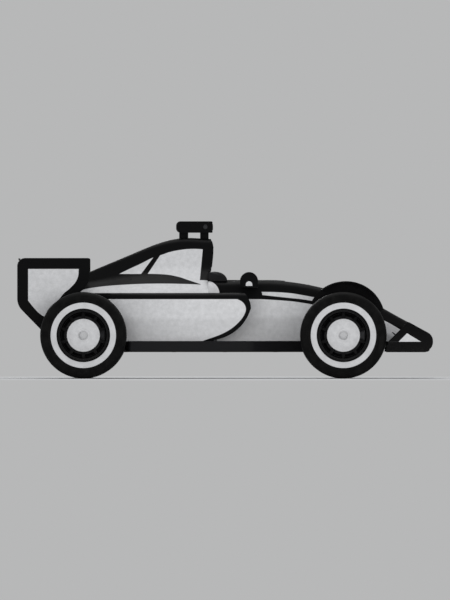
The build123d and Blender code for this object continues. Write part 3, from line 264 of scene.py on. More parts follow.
dress(painted("tub paint", tub_black), "monocoque")

# ---- floor, plank and diffuser
# The undertray is a carbon plate with edge boards; a wooden plank screwed under its middle
# takes the wear. The diffuser's ramp and fences carry on behind it.
FLOOR_UNDERSIDE = 0.212
PLANK_X, PLANK_HALF_WIDTH, PLANK_DEPTH = (-0.86, 0.92), 0.15, 0.005


def make_weave_group():
    """Carbon cloth, two over two twill, under clear resin."""
    group, given = new_group("carbon twill", Vector="Vector", Tow="Float")
    x, y, z = parts(given["Vector"])
    facing = parts(add(group, "NewGeometry").outputs["Normal"])[2]
    level = maths("GREATER_THAN", maths("ABSOLUTE", facing), 0.6)
    across = add(group, "Mix", {0: level, 2: z, 3: y}).outputs[0]
    u = maths("DIVIDE", maths("ADD", x, times(across, 0.02)), given["Tow"])
    v = maths("DIVIDE", across, given["Tow"])
    step = maths("ADD", maths("FLOOR", u), maths("FLOOR", v))
    warp = maths("LESS_THAN", maths("FRACT", maths("DIVIDE", step, 4)), 0.5)
    bow_u, bow_v = (maths("ABSOLUTE", less(maths("FRACT", way), 0.5)) for way in (u, v))
    bow = add(group, "Mix", {0: warp, 2: bow_v, 3: bow_u}).outputs[0]
    tone = scaled(warp, 0.5, times(bow, -0.6))
    fibre = blended(stretch(tone, -0.3, 0.5), (0.0018, 0.0018, 0.0021, 1), (0.0085, 0.0085, 0.0095, 1))
    return put_out(group, fibre, stretch(tone, -0.3, 0.5, 0.42, 0.3), less(0.5, bow))


material, vector = new_material("carbon", Coat_Weight=0.1, Coat_Roughness=0.15, Specular_IOR_Level=0.14)
carbon = finish_with(material, *use_group(make_weave_group(), Vector=vector, Tow=0.004), 0.0003)
dress(carbon, "floor_tray", "diffuser")

material, vector = new_material("plank", Specular_IOR_Level=0.2)
drawn = add(material.node_tree, "Mapping", {"Vector": vector, "Scale": (1.5, 60, 60)}).outputs[0]
grain = noise(drawn, 6, 4)
tone = blended(stretch(grain, 0.3, 0.7), (0.035, 0.022, 0.014, 1), (0.085, 0.056, 0.036, 1))
scraped = blended(stretch(noise(vector, 5, 5), 0.55, 0.7), tone, (0.12, 0.09, 0.065, 1))
plank_wood = finish_with(material, scraped, stretch(grain, 0.3, 0.7, 0.5, 0.7), grain, 0.0008)


def make_metal_group():
    """Cast or machined metal: stains, fine grain and soft variation of its gloss."""
    group, given = new_group("metal grain", Vector="Vector", Metal="Color", Grain="Float", Gloss="Float")
    vector, colour = given["Vector"], given["Metal"]
    stain, fine = noise(vector, 9, 5), noise(vector, given["Grain"])
    stained = blended(stretch(stain, 0.35, 0.7), colour, toned(colour, 0.62))
    worn = scaled(stain, 0.14, scaled(fine, 0.18, -0.15))
    return put_out(group, stained, maths("ADD", given["Gloss"], worn), fine)


metal_group = make_metal_group()


def metal(name, colour, gloss, grain, depth=0.0008):
    material, vector = new_material(name, Metallic=1.0)
    results = use_group(metal_group, Vector=vector, Metal=colour, Grain=grain, Gloss=gloss)
    return finish_with(material, *results, depth)


cast_metal = metal("cast magnesium", (0.11, 0.11, 0.115, 1), 0.55, 240.0)
dark_steel = metal("dark steel", (0.075, 0.075, 0.08, 1), 0.4, 500.0, 0.0002)
bright_steel = metal("bright steel", (0.42, 0.42, 0.43, 1), 0.32, 700.0, 0.0001)


def mesh_of(shape, name):
    """The mesh of a finished bmesh."""
    mesh = bpy.data.meshes.new(name)
    shape.to_mesh(mesh)
    shape.free()
    return mesh


def put_in(name, data):
    """A new object of the scene, at the origin."""
    made = bpy.data.objects.new(name, data)
    scene.collection.objects.link(made)
    return made


def mesh_piece(shape, name, material, slot, body="chassis", *stands_for):
    """Turns a finished bmesh into a smooth piece with its finish and body. The slot argument is not used."""
    bmesh.ops.remove_doubles(shape, verts=shape.verts, dist=1e-5)
    bmesh.ops.recalc_face_normals(shape, faces=shape.faces)
    mesh = mesh_of(shape, name)
    mesh.materials.append(material)
    mesh.shade_smooth()
    mesh.set_sharp_from_angle(angle=math.radians(35))
    piece = put_in(name, mesh)
    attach(piece, body)
    if stands_for:
        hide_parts(*stands_for)
    return piece


def rounded(shape, edges, radius, steps=2):
    bmesh.ops.bevel(
        shape, geom=list(edges), offset=radius, offset_type="OFFSET", segments=steps, profile=0.5,
        affect="EDGES", material=-1, clamp_overlap=True,
    )


def edges_of(points):
    return {edge for point in points for edge in point.link_edges}


def slab(shape, corners, depth, at, radius=0.0, steps=2):
    """A flat outline of (u, v) pushed out by depth along w; at places (u, v, w) on the car."""
    base = shape.faces.new([shape.verts.new((u, v, 0)) for u, v in corners])
    pushed = bmesh.ops.extrude_face_region(shape, geom=[base])["geom"]
    top = [point for point in pushed if isinstance(point, bmesh.types.BMVert)]
    bmesh.ops.translate(shape, vec=(0, 0, depth), verts=top)
    points = set(list(base.verts) + top)
    bmesh.ops.transform(shape, matrix=at, verts=list(points))
    if radius:
        rounded(shape, edges_of(points), radius, steps)


def block(shape, corner, other, radius=0.0, steps=2, turn=Matrix()):
    """A rounded block between two corners, turned about the car's origin where asked."""
    low, high = (Vector(ends) for ends in zip(*map(sorted, zip(corner, other))))
    size = Matrix.Diagonal((*(high - low), 1))
    at = turn @ Matrix.Translation((low + high) / 2) @ size
    made = bmesh.ops.create_cube(shape, size=1, matrix=at)
    if radius:
        rounded(shape, edges_of(made["verts"]), radius, steps)


def spun(shape, profile, centre, axis, steps=64):
    """Spins an outline of (radius, along) about an axis; it is closed where it leaves the axis."""
    centre, axis = Vector(centre), Vector(axis).normalized()
    out = axis.orthogonal().normalized()
    chain = [shape.verts.new(centre + out * radius + axis * along) for radius, along in profile]
    pairs = list(zip(chain, chain[1:]))
    if profile[0][0] > 0 or profile[-1][0] > 0:
        pairs.append((chain[-1], chain[0]))
    edges = [shape.edges.new(pair) for pair in pairs]
    bmesh.ops.spin(
        shape, geom=chain + edges, cent=centre, axis=axis, dvec=(0, 0, 0), angle=2 * math.pi,
        steps=steps, use_merge=True, use_normal_flip=False, use_duplicate=False,
    )


rear, front = PLANK_X
half, cut = PLANK_HALF_WIDTH, 0.05
corners = [
    (rear, -half), (front - cut, -half), (front, cut - half), (front, half - cut), (front - cut, half),
    (rear, half),
]
plank_face = FLOOR_UNDERSIDE - PLANK_DEPTH
shape = bmesh.new()
slab(shape, corners, PLANK_DEPTH + 0.001, Matrix.Translation((0, 0, plank_face)), 0.0015)
mesh_piece(shape, "floor_plank", plank_wood, "carbon")
shape = bmesh.new()
for x in (-0.78, -0.4, 0.0, 0.4, 0.8):
    for y in (-0.11, 0.11):
        profile = [(0, -0.0012), (0.015, -0.0012), (0.018, 0), (0.018, 0.002), (0, 0.002)]
        spun(shape, profile, (x, y, plank_face), (0, 0, 1), 20)
mesh_piece(shape, "plank_skids", bright_steel, "dark_steel")

# ---- seat and harness
# The seat is a thin carbon shell moulded to the driver, with two padded liners in black knit.
# Six straps of woven webbing meet at a turn-to-open buckle.
SIDES = {"left": 1, "right": -1}
SEAT_BACK_X, SEAT_BACK_Z, SEAT_LEAN = (-0.079, -0.053), (0.315, 0.665), 0.051
SEAT_BASE_X, SEAT_BASE_Z = (-0.04, 0.36), (0.267, 0.289)
PAD_HALF_WIDTH = 0.164
SHELL_TOUCH = 0.004  # the depth of a pad that stays against what it lies on
STITCH = (0.004, 0.004)  # half width and depth of a sewn channel
STRAP_THICKNESS, STRAP_HALF_WIDTH = 0.0009, 0.0235
BUCKLE = Vector((0.105, 0, 0.306))
SIDE_ON = Matrix(((1, 0, 0, 0), (0, 0, 1, 0), (0, 1, 0, 0), (0, 0, 0, 1)))  # (u, v, w) to (x, z, y)
END_ON = Matrix(((0, 0, 1, 0), (1, 0, 0, 0), (0, 1, 0, 0), (0, 0, 0, 1)))  # (u, v, w) to (y, z, x)


def make_cloth_group():
    """Knitted or woven threads that cross, with lint and soft fading."""
    group, given = new_group("cross threads", Vector="Vector", Thread="Float", Low="Color", High="Color")
    vector = given["Vector"]
    x, y, z = parts(vector)
    turns = maths("DIVIDE", math.pi, given["Thread"])
    half_y = times(y, 0.5)
    along = maths("SINE", times(maths("ADD", x, half_y), turns))
    over = maths("SINE", times(less(z, half_y), turns))
    bump = maths("ABSOLUTE", times(along, over))
    fading = noise(vector, 16, 4)
    lint = times(stretch(noise(vector, 900, 1), 0.62, 0.8), 0.35)
    share = scaled(bump, 0.6, times(stretch(fading, 0.3, 0.7), 0.4))
    colour = blended(maths("ADD", share, lint), given["Low"], given["High"])
    return put_out(group, colour, scaled(fading, 0.15, 0.78), bump)


cloth_group = make_cloth_group()


def cloth(name, thread, low, high):
    material, vector = new_material(name, Sheen_Weight=0.25, Sheen_Roughness=0.5, Specular_IOR_Level=0.15)
    results = use_group(cloth_group, Vector=vector, Thread=thread, Low=low, High=high)
    return finish_with(material, *results, 0.0004)


pad_cloth = cloth("black knit", 0.0022, (0.003, 0.003, 0.003, 1), (0.013, 0.013, 0.0135, 1))
webbing = cloth("strap webbing", 0.0016, (0.018, 0.018, 0.019, 1), (0.055, 0.055, 0.057, 1))


def evaluated(thing):
    """A new mesh of an object as its modifiers leave it."""
    return bpy.data.meshes.new_from_object(thing.evaluated_get(bpy.context.evaluated_depsgraph_get()))


def stuffed(shape, name, still_below, channels, cap=0.008):
    """A padded piece: a closed form inflated as cloth, with sewn channels drawn in afterwards.

    still_below(point) holds the points that rest on the shell; cap is how far the rest may swell;
    channels are planes as (axis, place on it, half width, depth).
    """
    pad = put_in(name, mesh_of(shape, name))
    skin = pad.modifiers.new("skin", "REMESH")
    skin.mode, skin.voxel_size = "VOXEL", 0.005
    bpy.context.view_layer.update()
    mesh = evaluated(pad)
    pad.modifiers.remove(skin)
    pad.data = mesh
    rest = [point.co.copy() for point in mesh.vertices]
    held = pad.vertex_groups.new(name="held")
    held.add([index for index, spot in enumerate(rest) if still_below(spot)], 1.0, "REPLACE")
    stuffing = pad.modifiers.new("stuffing", "CLOTH")
    stuffing.settings.use_pressure = True
    stuffing.settings.uniform_pressure_force = 4
    stuffing.settings.effector_weights.gravity = 0
    stuffing.settings.vertex_group_mass = "held"
    for step in range(1, 21):
        scene.frame_set(step)
    swollen = evaluated(pad)
    for point, start, end in zip(mesh.vertices, rest, swollen.vertices):
        moved = end.co - start
        point.co = start + moved * min(1, cap / max(moved.length, 1e-9))
    pad.modifiers.remove(stuffing)
    bpy.data.meshes.remove(swollen)
    scene.frame_set(1)
    mesh.update()
    normals = [point.normal.copy() for point in mesh.vertices]
    for point, normal in zip(mesh.vertices, normals):
        for axis, place, half, depth in channels:
            reach = (point.co[axis] - place) / half
            point.co -= normal * depth * math.exp(-reach * reach)
    pad.vertex_groups.clear()
    smooth = pad.modifiers.new("smooth", "SUBSURF")
    smooth.levels = smooth.render_levels = 1
    mesh.materials.clear()
    mesh.materials.append(pad_cloth)
    mesh.shade_smooth()
    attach(pad, "chassis")
    return pad


def seat_lean(z):
    return SEAT_LEAN * (SEAT_BACK_Z[1] - z)


dress(carbon, "seat_shell")
shape = bmesh.new()
low, high = zip(SEAT_BACK_X, (-PAD_HALF_WIDTH, PAD_HALF_WIDTH), SEAT_BACK_Z)
block(shape, low, high, 0.009, 3)
for point in shape.verts:
    point.co.x += seat_lean(point.co.z)
channels = [(1, y, *STITCH) for y in (-0.055, 0.055)] + [(2, z, *STITCH) for z in (0.43, 0.545)]


def on_shell(spot):
    return spot.x < SEAT_BACK_X[0] + SHELL_TOUCH + seat_lean(spot.z)


stuffed(shape, "seat_back_pad", on_shell, channels)

shape = bmesh.new()
low, high = zip(SEAT_BASE_X, (-PAD_HALF_WIDTH, PAD_HALF_WIDTH), SEAT_BASE_Z)
block(shape, low, high, 0.009, 3)
channels = [(0, x, *STITCH) for x in (0.04, 0.16, 0.27)]
stuffed(shape, "seat_base_pad", lambda spot: spot.z < SEAT_BASE_Z[0] + SHELL_TOUCH, channels)


def swept(points, radius, ribbon=0.0, closed=False, upright=None):
    """A round bar along a smooth line; with a ribbon half width, a strap in the upright plane."""
    line = bpy.data.curves.new("swept line", "CURVE")
    line.dimensions = "2D" if ribbon else "3D"
    line.fill_mode = "NONE" if ribbon else "FULL"
    line.bevel_depth, line.extrude, line.bevel_resolution = radius, ribbon, 3
    line.resolution_u = 8
    line.use_fill_caps = True
    spline = line.splines.new("NURBS")
    spline.points.add(len(points) - 1)
    for point, spot in zip(spline.points, points):
        point.co = (*spot, *([0] if ribbon else []), 1)
    spline.order_u = 3
    spline.use_endpoint_u = not closed
    spline.use_cyclic_u = closed
    holder = put_in("swept line", line)
    bpy.context.view_layer.update()
    mesh = evaluated(holder)
    shape = bmesh.new()
    shape.from_mesh(mesh)
    if upright:
        bmesh.ops.transform(shape, matrix=upright, verts=shape.verts)
    bpy.data.objects.remove(holder)
    bpy.data.meshes.remove(mesh)
    bpy.data.curves.remove(line)
    return shape


def added(shape, other):
    """Adds another shape's mesh to this one."""
    mesh = mesh_of(other, "part")
    shape.from_mesh(mesh)
    bpy.data.meshes.remove(mesh)


def shoulder_y(z):
    """How far from the middle a shoulder strap runs: the pair closes in below the shoulders."""
    return 0.062 - 0.04 * min(1, max(0, (0.62 - z) / 0.3))


straps = bmesh.new()
buckle_top = BUCKLE.z + 0.004
# Side views (x, z) of a shoulder strap and a crotch strap, and an end view (y, z) of a lap strap
shoulder = [
    (-0.098, 0.752), (-0.062, 0.735), (-0.04, 0.66), (-0.032, 0.55), (-0.024, 0.42), (-0.004, 0.335),
    (0.04, 0.309), (0.09, buckle_top),
]
crotch = [(0.225, 0.292), (0.19, 0.303), (0.15, 0.307), (0.115, buckle_top)]
lap = [(0.174, 0.345), (0.166, 0.318), (0.14, 0.304), (0.09, 0.305), (0.02, buckle_top)]
for side in SIDES.values():
    for line, upright in ((shoulder, SIDE_ON), (crotch, SIDE_ON), (lap, END_ON)):
        ribbon = swept(line, STRAP_THICKNESS, STRAP_HALF_WIDTH, upright=upright)
        for point in ribbon.verts:
            x, y, z = point.co
            if line is shoulder:
                point.co.y = y + side * shoulder_y(z)
            elif line is crotch:
                point.co.y = y + side * (0.012 + 0.22 * (x - BUCKLE.x))
            else:
                point.co = (x + BUCKLE.x - 0.35 * abs(y), side * y, z)
        added(straps, ribbon)
mesh_piece(straps, "harness_straps", webbing, "pad_cover")

shape = bmesh.new()
profile = [
    (0, -0.002), (0.034, -0.002), (0.0375, 0.001), (0.0375, 0.009), (0.035, 0.0115), (0.026, 0.0125),
    (0.0255, 0.0155), (0.022, 0.0175), (0, 0.0175),
]
spun(shape, profile, BUCKLE, (0, 0, 1), 40)
for angle in (30, 150, 270):
    turn = Matrix.Translation(BUCKLE) @ Matrix.Rotation(math.radians(angle), 4, "Z")
    block(shape, (-0.004, 0.006, 0.016), (0.004, 0.024, 0.02), 0.0012, 2, turn)
for side in SIDES.values():
    for x, z in ((-0.033, 0.575), (0.0, 0.345)):
        y = side * shoulder_y(z)
        block(shape, (x - 0.002, y - 0.029, z - 0.012), (x + 0.004, y + 0.029, z + 0.012), 0.0012)
mesh_piece(shape, "harness_buckle", bright_steel, "dark_steel")

# ---- dash, column and rack
# The dash hoop is a carbon frame bonded across the tub in front of the wheel. The column, the
# rack and its housing are machined from steel, and the housing is bolted inside the tub.
dress(carbon, "dash_bulkhead")
dress(dark_steel, "steering_rack", "rack_housing")
dress(bright_steel, "steering_column")

# ---- steering wheel
# A flat carbon plate with moulded rubber grips, a blank display, knobs and buttons, two shift
# paddles behind it, and a quick release on the column.
WHEEL_CENTRE = Vector((0.392, 0, 0.655))
COLUMN_ANGLE = math.radians(18)
toward = Vector((-math.cos(COLUMN_ANGLE), 0, math.sin(COLUMN_ANGLE)))  # to the driver
up = Vector((math.sin(COLUMN_ANGLE), 0, math.cos(COLUMN_ANGLE)))
ON_WHEEL = Matrix.Translation(WHEEL_CENTRE) @ Matrix((up.cross(toward), up, toward)).transposed().to_4x4()
PLATE_REAR, PLATE_FACE = 0.006, 0.018
PADDLE_REAR = -0.01
BUTTON_FOOT = 0.0178

half = [
    (0.04, 0.074), (0.092, 0.07), (0.106, 0.056), (0.098, 0.03), (0.101, 0.0), (0.098, -0.03),
    (0.088, -0.052), (0.06, -0.07), (0.02, -0.075),
]
corners = half + [(-u, v) for u, v in reversed(half)]
paddle = [(0.05, 0.022), (0.12, 0.034), (0.127, 0.02), (0.122, -0.016), (0.108, -0.026), (0.05, -0.016)]
shape = bmesh.new()
slab(shape, corners, PLATE_FACE - PLATE_REAR, ON_WHEEL @ Matrix.Translation((0, 0, PLATE_REAR)), 0.003, 3)
for side in SIDES.values():
    corners = [(side * u, v) for u, v in paddle]
    slab(shape, corners, 0.003, ON_WHEEL @ Matrix.Translation((0, 0, PADDLE_REAR)), 0.0012)
mesh_piece(shape, "steering_wheel_plate", carbon, "carbon", "steering_wheel", "steering_wheel")


def mottled(name, one, other, mottle=None, spread=None, gloss=None, cells=None, depth=None, **settings):
    """Two tones mixed by noise (scale, detail) or, without it, by cells of the given scale.

    spread sharpens the mix, gloss maps the noise to roughness, and depth makes relief of the
    cells or else of the noise.
    """
    material, vector = new_material(name, **settings)
    if cells:
        cells = add(material.node_tree, "TexVoronoi", {"Vector": vector, "Scale": cells}).outputs["Distance"]
    pattern = noise(vector, *mottle) if mottle else cells
    tone = blended(stretch(pattern, *spread) if spread else pattern, one, other)
    roughness = stretch(pattern, *gloss) if gloss else None
    return finish_with(material, tone, roughness, (cells or pattern) if depth else None, depth)


grip_rubber = mottled(
    "grip rubber", (0.006, 0.006, 0.0065, 1), (0.017, 0.017, 0.017, 1), (30, 4), (0.3, 0.75),
    (0.3, 0.7, 0.5, 0.72), 420.0, 0.0008, Specular_IOR_Level=0.25,
)
half = [
    (0.086, 0.066), (0.11, 0.063), (0.121, 0.046), (0.116, 0.016), (0.12, -0.014), (0.119, -0.046),
    (0.104, -0.064), (0.08, -0.06),
]
grips = bmesh.new()
for side in SIDES.values():
    added(grips, swept([ON_WHEEL @ Vector((side * u, v, 0.012)) for u, v in half], 0.0125))
mesh_piece(grips, "steering_wheel_grips", grip_rubber, "tyre_rubber", "steering_wheel")

dark_glass = mottled(
    "dark glass", (0.004, 0.005, 0.006, 1), (0.012, 0.013, 0.015, 1), (35, 5), (0.4, 0.8),
    (0.3, 0.8, 0.04, 0.16), Roughness=0.06, Coat_Weight=0.4,
)
shape = bmesh.new()
block(shape, (-0.041, -0.008, 0.0175), (0.041, 0.046, 0.0215), 0.0015, 2, ON_WHEEL)
mesh_piece(shape, "steering_wheel_display", dark_glass, "dark_steel", "steering_wheel")

shape = bmesh.new()
for u, v, r in ((-0.03, -0.036, 0.01), (0.03, -0.036, 0.01), (0.0, -0.046, 0.008)):
    profile = [(0, 0), (r, 0), (r, 0.003), (r * 0.8, 0.0045), (r * 0.72, 0.0105), (0, 0.0115)]
    spun(shape, profile, ON_WHEEL @ Vector((u, v, BUTTON_FOOT)), toward, 24)
    block(shape, (u - 0.001, v, 0.029), (u + 0.001, v + r * 0.7, 0.0302), 0, 1, ON_WHEEL)
quick_release = [
    (0, -0.034), (0.022, -0.034), (0.026, -0.03), (0.026, -0.012), (0.019, -0.008), (0.019, 0.0065),
    (0, 0.0065),
]
spun(shape, quick_release, WHEEL_CENTRE, toward, 40)
mesh_piece(shape, "steering_wheel_knobs", dark_steel, "dark_steel", "steering_wheel")

# Columns: name, colour, and the places (u, v) of the caps
CAPS = (
    ("pale", (0.45, 0.45, 0.44, 1), ((-0.062, 0.048), (0.062, 0.048), (-0.078, -0.02), (0.078, -0.02))),
    ("red", (0.36, 0.012, 0.01, 1), ((-0.08, 0.048), (0.06, -0.042))),
    ("yellow", (0.48, 0.3, 0.015, 1), ((0.08, 0.048), (-0.06, -0.042))),
)
profile = [
    (0, 0), (0.0072, 0), (0.0072, 0.0018), (0.0058, 0.0024), (0.0056, 0.0048), (0.0046, 0.0056), (0, 0.0058),
]
for name, colour, spots in CAPS:
    faded = tuple(0.8 * part + 0.05 for part in colour[:3]) + (1,)
    material = mottled(
        f"{name} cap", colour, faded, (120, 3), gloss=(0.3, 0.7, 0.3, 0.45), depth=0.0006, Coat_Weight=0.2
    )
    shape = bmesh.new()
    for u, v in spots:
        spun(shape, profile, ON_WHEEL @ Vector((u, v, BUTTON_FOOT)), toward, 20)
    mesh_piece(shape, f"steering_wheel_{name}_caps", material, "pad_cover", "steering_wheel")

# ---- headrest
# A foam collar in black knit, stitched where the side wings meet the back, lies in a carbon
# tray round the rear of the cockpit rim and lifts out.
TRAY_REAR_X, TRAY_HALF_WIDTH, TRAY_Z = -0.135, 0.238, (0.764, 0.7762)
COLLAR_REAR_X, COLLAR_Z = -0.124, (0.7715, 0.836)
COLLAR_SLANT = 0.22
tray_corner = (TRAY_REAR_X, -TRAY_HALF_WIDTH, TRAY_Z[0])
shape = bmesh.new()
block(shape, tray_corner, (-0.06, TRAY_HALF_WIDTH, TRAY_Z[1]), 0.0015)
block(shape, tray_corner, (-0.121, TRAY_HALF_WIDTH, 0.8355), 0.0015)
block(shape, (TRAY_REAR_X, -0.12, 0.82), (-0.112, 0.12, 0.8465), 0.003)
for side in SIDES.values():
    block(shape, (-0.062, side * 0.212, TRAY_Z[0]), (0.0175, side * TRAY_HALF_WIDTH, TRAY_Z[1]), 0.0015)
mesh_piece(shape, "headrest_tray", carbon, "carbon")

shape = bmesh.new()
block(shape, (COLLAR_REAR_X, -0.16, COLLAR_Z[0]), (-0.071, 0.16, COLLAR_Z[1]), 0.01, 3)
for side in SIDES.values():
    before = set(shape.verts)
    block(shape, (COLLAR_REAR_X, side * 0.156, COLLAR_Z[0]), (0.02, side * 0.241, COLLAR_Z[1]))
    edges = edges_of(set(shape.verts) - before)
    front = [edge for edge in edges if all(point.co.x > 0.01 and point.co.z > 0.8 for point in edge.verts)]
    rounded(shape, front, 0.06, 8)
    made = set(shape.verts) - before
    for point in made:
        if point.co.x > -0.06:
            point.co.x -= COLLAR_SLANT * (point.co.z - COLLAR_Z[0])
    rounded(shape, {edge for edge in edges_of(made) if edge.calc_face_angle(0) > 1.2}, 0.009, 2)
channels = [(1, side * 0.154, 0.0035, 0.003) for side in SIDES.values()] + [(0, -0.066, 0.0035, 0.002)]
headrest = stuffed(
    shape, "headrest_collar", lambda spot: spot.z < COLLAR_Z[0] + SHELL_TOUCH, channels, 0.006
)
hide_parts("headrest_pad")

# ---- cockpit edge trim
# A soft black edge is pressed on to the rim of the cockpit opening. The rim slopes down with
# the deck at its front.
RIM_Z, RIM_BEND_X, RIM_SLOPE = 0.7705, 0.39, 0.075
line = [
    (-0.092, 0.0), (-0.092, 0.15), (-0.088, 0.198), (-0.03, 0.205), (0.1, 0.205),
    (0.3, 0.205), (0.4, 0.203), (0.455, 0.165), (0.47, 0.08), (0.47, 0.0),
]
loop = line + [(x, -y) for x, y in reversed(line[1:-1])]
points = [(x, y, RIM_Z - RIM_SLOPE * max(0, x - RIM_BEND_X)) for x, y in loop]
mesh_piece(swept(points, 0.0045, closed=True), "cockpit_edge_trim", grip_rubber, "tyre_rubber")

# ---- engine, gearbox and exhaust
# The engine is a stressed block and the gearbox a magnesium casting behind it; a thin steel
# tail pipe lies on top, and the jack is pushed into the cross hole at the tail.
dress(cast_metal, "engine_block", "gearbox_case")
PIPE_START, PIPE_END = Vector((-0.99, 0, 0.556)), Vector((-1.29, 0, 0.58))
HEAT_TINTS = ((0.3, (0.1, 0.13, 0.24, 1)), (0.5, (0.19, 0.1, 0.2, 1)), (0.7, (0.38, 0.22, 0.1, 1)))

material, vector = new_material("tail pipe steel", Metallic=1.0)
drift = scaled(noise(vector, 14, 4), 0.1, -0.05)
heat = stretch(maths("ADD", parts(vector)[0], drift), -0.99, -1.3)
ramp = add(material.node_tree, "ValToRGB", {0: heat}).outputs[0]
stops = ramp.node.color_ramp.elements
stops[0].color, stops[1].color = (0.3, 0.27, 0.25, 1), (0.34, 0.25, 0.13, 1)
for spot, tint in HEAT_TINTS:
    stops.new(spot).color = tint
soot = stretch(noise(vector, 45), 0.45, 0.75)
finish_with(material, blended(soot, ramp, (0.05, 0.045, 0.04, 1)), stretch(soot, 0, 1, 0.28, 0.5), soot)
axis = (PIPE_END - PIPE_START).normalized()
length = (PIPE_END - PIPE_START).length
profile = [
    (0.0425, 0.003), (0.0455, 0.003), (0.0455, 0.045), (0.0458, 0.06), (0.044, 0.064),
    (0.044, length - 0.01), (0.0455, length - 0.006), (0.0458, length - 0.002), (0.0445, length),
    (0.0428, length - 0.002), (0.0422, length - 0.01),
]
shape = bmesh.new()
spun(shape, profile, PIPE_START, axis, 64)
weld = [(0.0438, 0), (0.0452, 0.0015), (0.0438, 0.003), (0.0432, 0.0015)]
for along in (0.055, 0.13, 0.21):
    spun(shape, weld, PIPE_START + axis * along, axis, 48)
mesh_piece(shape, "tail_pipe", material, "exhaust_steel", "chassis", "exhaust_pipe")

# ---- rain light
# A moulded red lens with fifteen lamp domes sits in a carbon frame, and both are screwed to
# the tail of the gearbox.
FRAME_BAR = 0.007
material = mottled(
    "red lens", (0.42, 0.006, 0.006, 1), (0.16, 0.002, 0.002, 1), None, (0.1, 0.7), None, 300.0, 0.0006,
    Roughness=0.16, Coat_Weight=0.6,
)
low, high = map(Vector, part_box("rain_light"))
middle = (low + high) / 2
shape = bmesh.new()
block(shape, low + Vector((0.004, 0.006, 0.006)), high - Vector((0, 0.006, 0.006)), 0.002)
dome = [(0, 0.003), (0.0028, 0.0026), (0.0048, 0.0014), (0.0056, 0), (0, -0.0005)]
for y in (-0.04, -0.02, 0, 0.02, 0.04):
    for z in (-0.015, 0, 0.015):
        spun(shape, dome, (low.x + 0.0042, middle.y + y, middle.z + z), (-1, 0, 0), 16)
mesh_piece(shape, "rain_light_lens", material, "red_lens", "chassis", "rain_light")
shape = bmesh.new()
for z in (low.z, high.z - FRAME_BAR):
    block(shape, (low.x, low.y, z), (high.x, high.y, z + FRAME_BAR), 0.0015)
for y in (low.y, high.y - FRAME_BAR):
    block(shape, (low.x, y, low.z), (high.x, y + FRAME_BAR, high.z), 0.0015)
mesh_piece(shape, "rain_light_frame", carbon, "carbon")

# ---- radiators
# Each radiator is a brazed aluminium core of flat tubes and folded fins between two tanks,
# fixed upright behind the mouth of its pod.
RADIATOR_INNER, TANK, SIDE_BAR = 0.314, 0.026, 0.006
FIN_PITCH, FIN, TUBE_PITCH, HALF_TUBE = 0.006, 0.0008, 0.02, 0.0011
material = mottled(
    "radiator alloy", (0.24, 0.24, 0.25, 1), (0.09, 0.09, 0.09, 1), (60, 4), (0.35, 0.7),
    (0.3, 0.7, 0.35, 0.6), None, 0.0006, Metallic=0.9,
)
(back, _, bottom), (front, outer, top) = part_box("radiators")
inner = RADIATOR_INNER
# Each bar: how far it keeps from the core's front and back, its y and z ranges, its rounding
bars = [(0, (inner, outer), (z, z + TANK), 0.008, 3) for z in (bottom, top - TANK)]
bars += [(0.002, (y, y + SIDE_BAR), (bottom + 0.01, top - 0.01), 0, 0) for y in (inner, outer - SIDE_BAR)]
for index in range(1, round((top - bottom - 2 * TANK) / FIN_PITCH)):
    z = bottom + TANK + index * FIN_PITCH
    bars.append((0.005, (inner + 0.003, outer - 0.003), (z, z + FIN), 0, 0))
for index in range(1, round((outer - inner) / TUBE_PITCH)):
    y = inner + index * TUBE_PITCH
    bars.append((0.004, (y - HALF_TUBE, y + HALF_TUBE), (bottom + 0.02, top - 0.02), 0, 0))
shape = bmesh.new()
for side in SIDES.values():
    for inset, (y, other_y), (z, other_z), radius, steps in bars:
        block(shape, (back + inset, side * y, z), (front - inset, side * other_y, other_z), radius, steps)
mesh_piece(shape, "radiator_cores", material, "radiator_core", "chassis", "radiators")

# ---- sidepods
# Each pod is a carbon duct shell from the inlet lip to the flank, sprayed like the tub and
# held down by quarter-turn studs.
POD_LIP = [  # (z, x)
    (0.2, -0.45), (0.302, -0.156), (0.3675, 0.01), (0.44, 0.106), (0.508, 0.155), (0.547, 0.165),
    (0.58, 0.155), (0.605, 0.133), (0.626, 0.092), (0.7, -0.05),
]
STUD_RADIUS = 0.0085
BESIDE_Y, ABOVE_Z = 0.9, 0.9  # where the lines start that find a stud's place on its panel


def pod_black(x, y, z):
    edges = within(z, BELT_Z[0], 0.8), within(z, *FLOOR_BAND_Z)
    return either(past(z, x, POD_LIP), *edges, inner_face(y, z, 0.36, 0.45))


dress(painted("pod paint", pod_black), "sidepod_left", "sidepod_right")


def studs(name, node, aim, starts):
    """Quarter-turn studs, sprayed over with their panel, where the lines along aim meet it."""
    shape = bmesh.new()
    r = STUD_RADIUS
    profile = [
        (0, -0.001), (r, -0.001), (r, 0.0004), (0.86 * r, 0.0011), (0.8 * r, 0.0004), (0.3 * r, 0.0004),
        (0, 0.0004),
    ]
    for start in starts:
        hit, spot, normal, _ = nodes[node].ray_cast(Vector(start), Vector(aim))
        if hit:
            spun(shape, profile, spot, normal, 20)
            turn = Matrix.Translation(spot) @ normal.to_track_quat("Z", "Y").to_matrix().to_4x4()
            turn = turn @ Matrix.Rotation(math.radians(35), 4, "Z")
            block(shape, (-0.72 * r, -0.1 * r, 0), (0.72 * r, 0.1 * r, 0.0012), 0, 1, turn)
    mesh_piece(shape, name, nodes[node].data.materials[0], "body_paint")


def side_studs(name, node, side, spots):
    """Studs on a flank at places (x, z)."""
    studs(name, node, (0, -side, 0), [(x, side * BESIDE_Y, z) for x, z in spots])


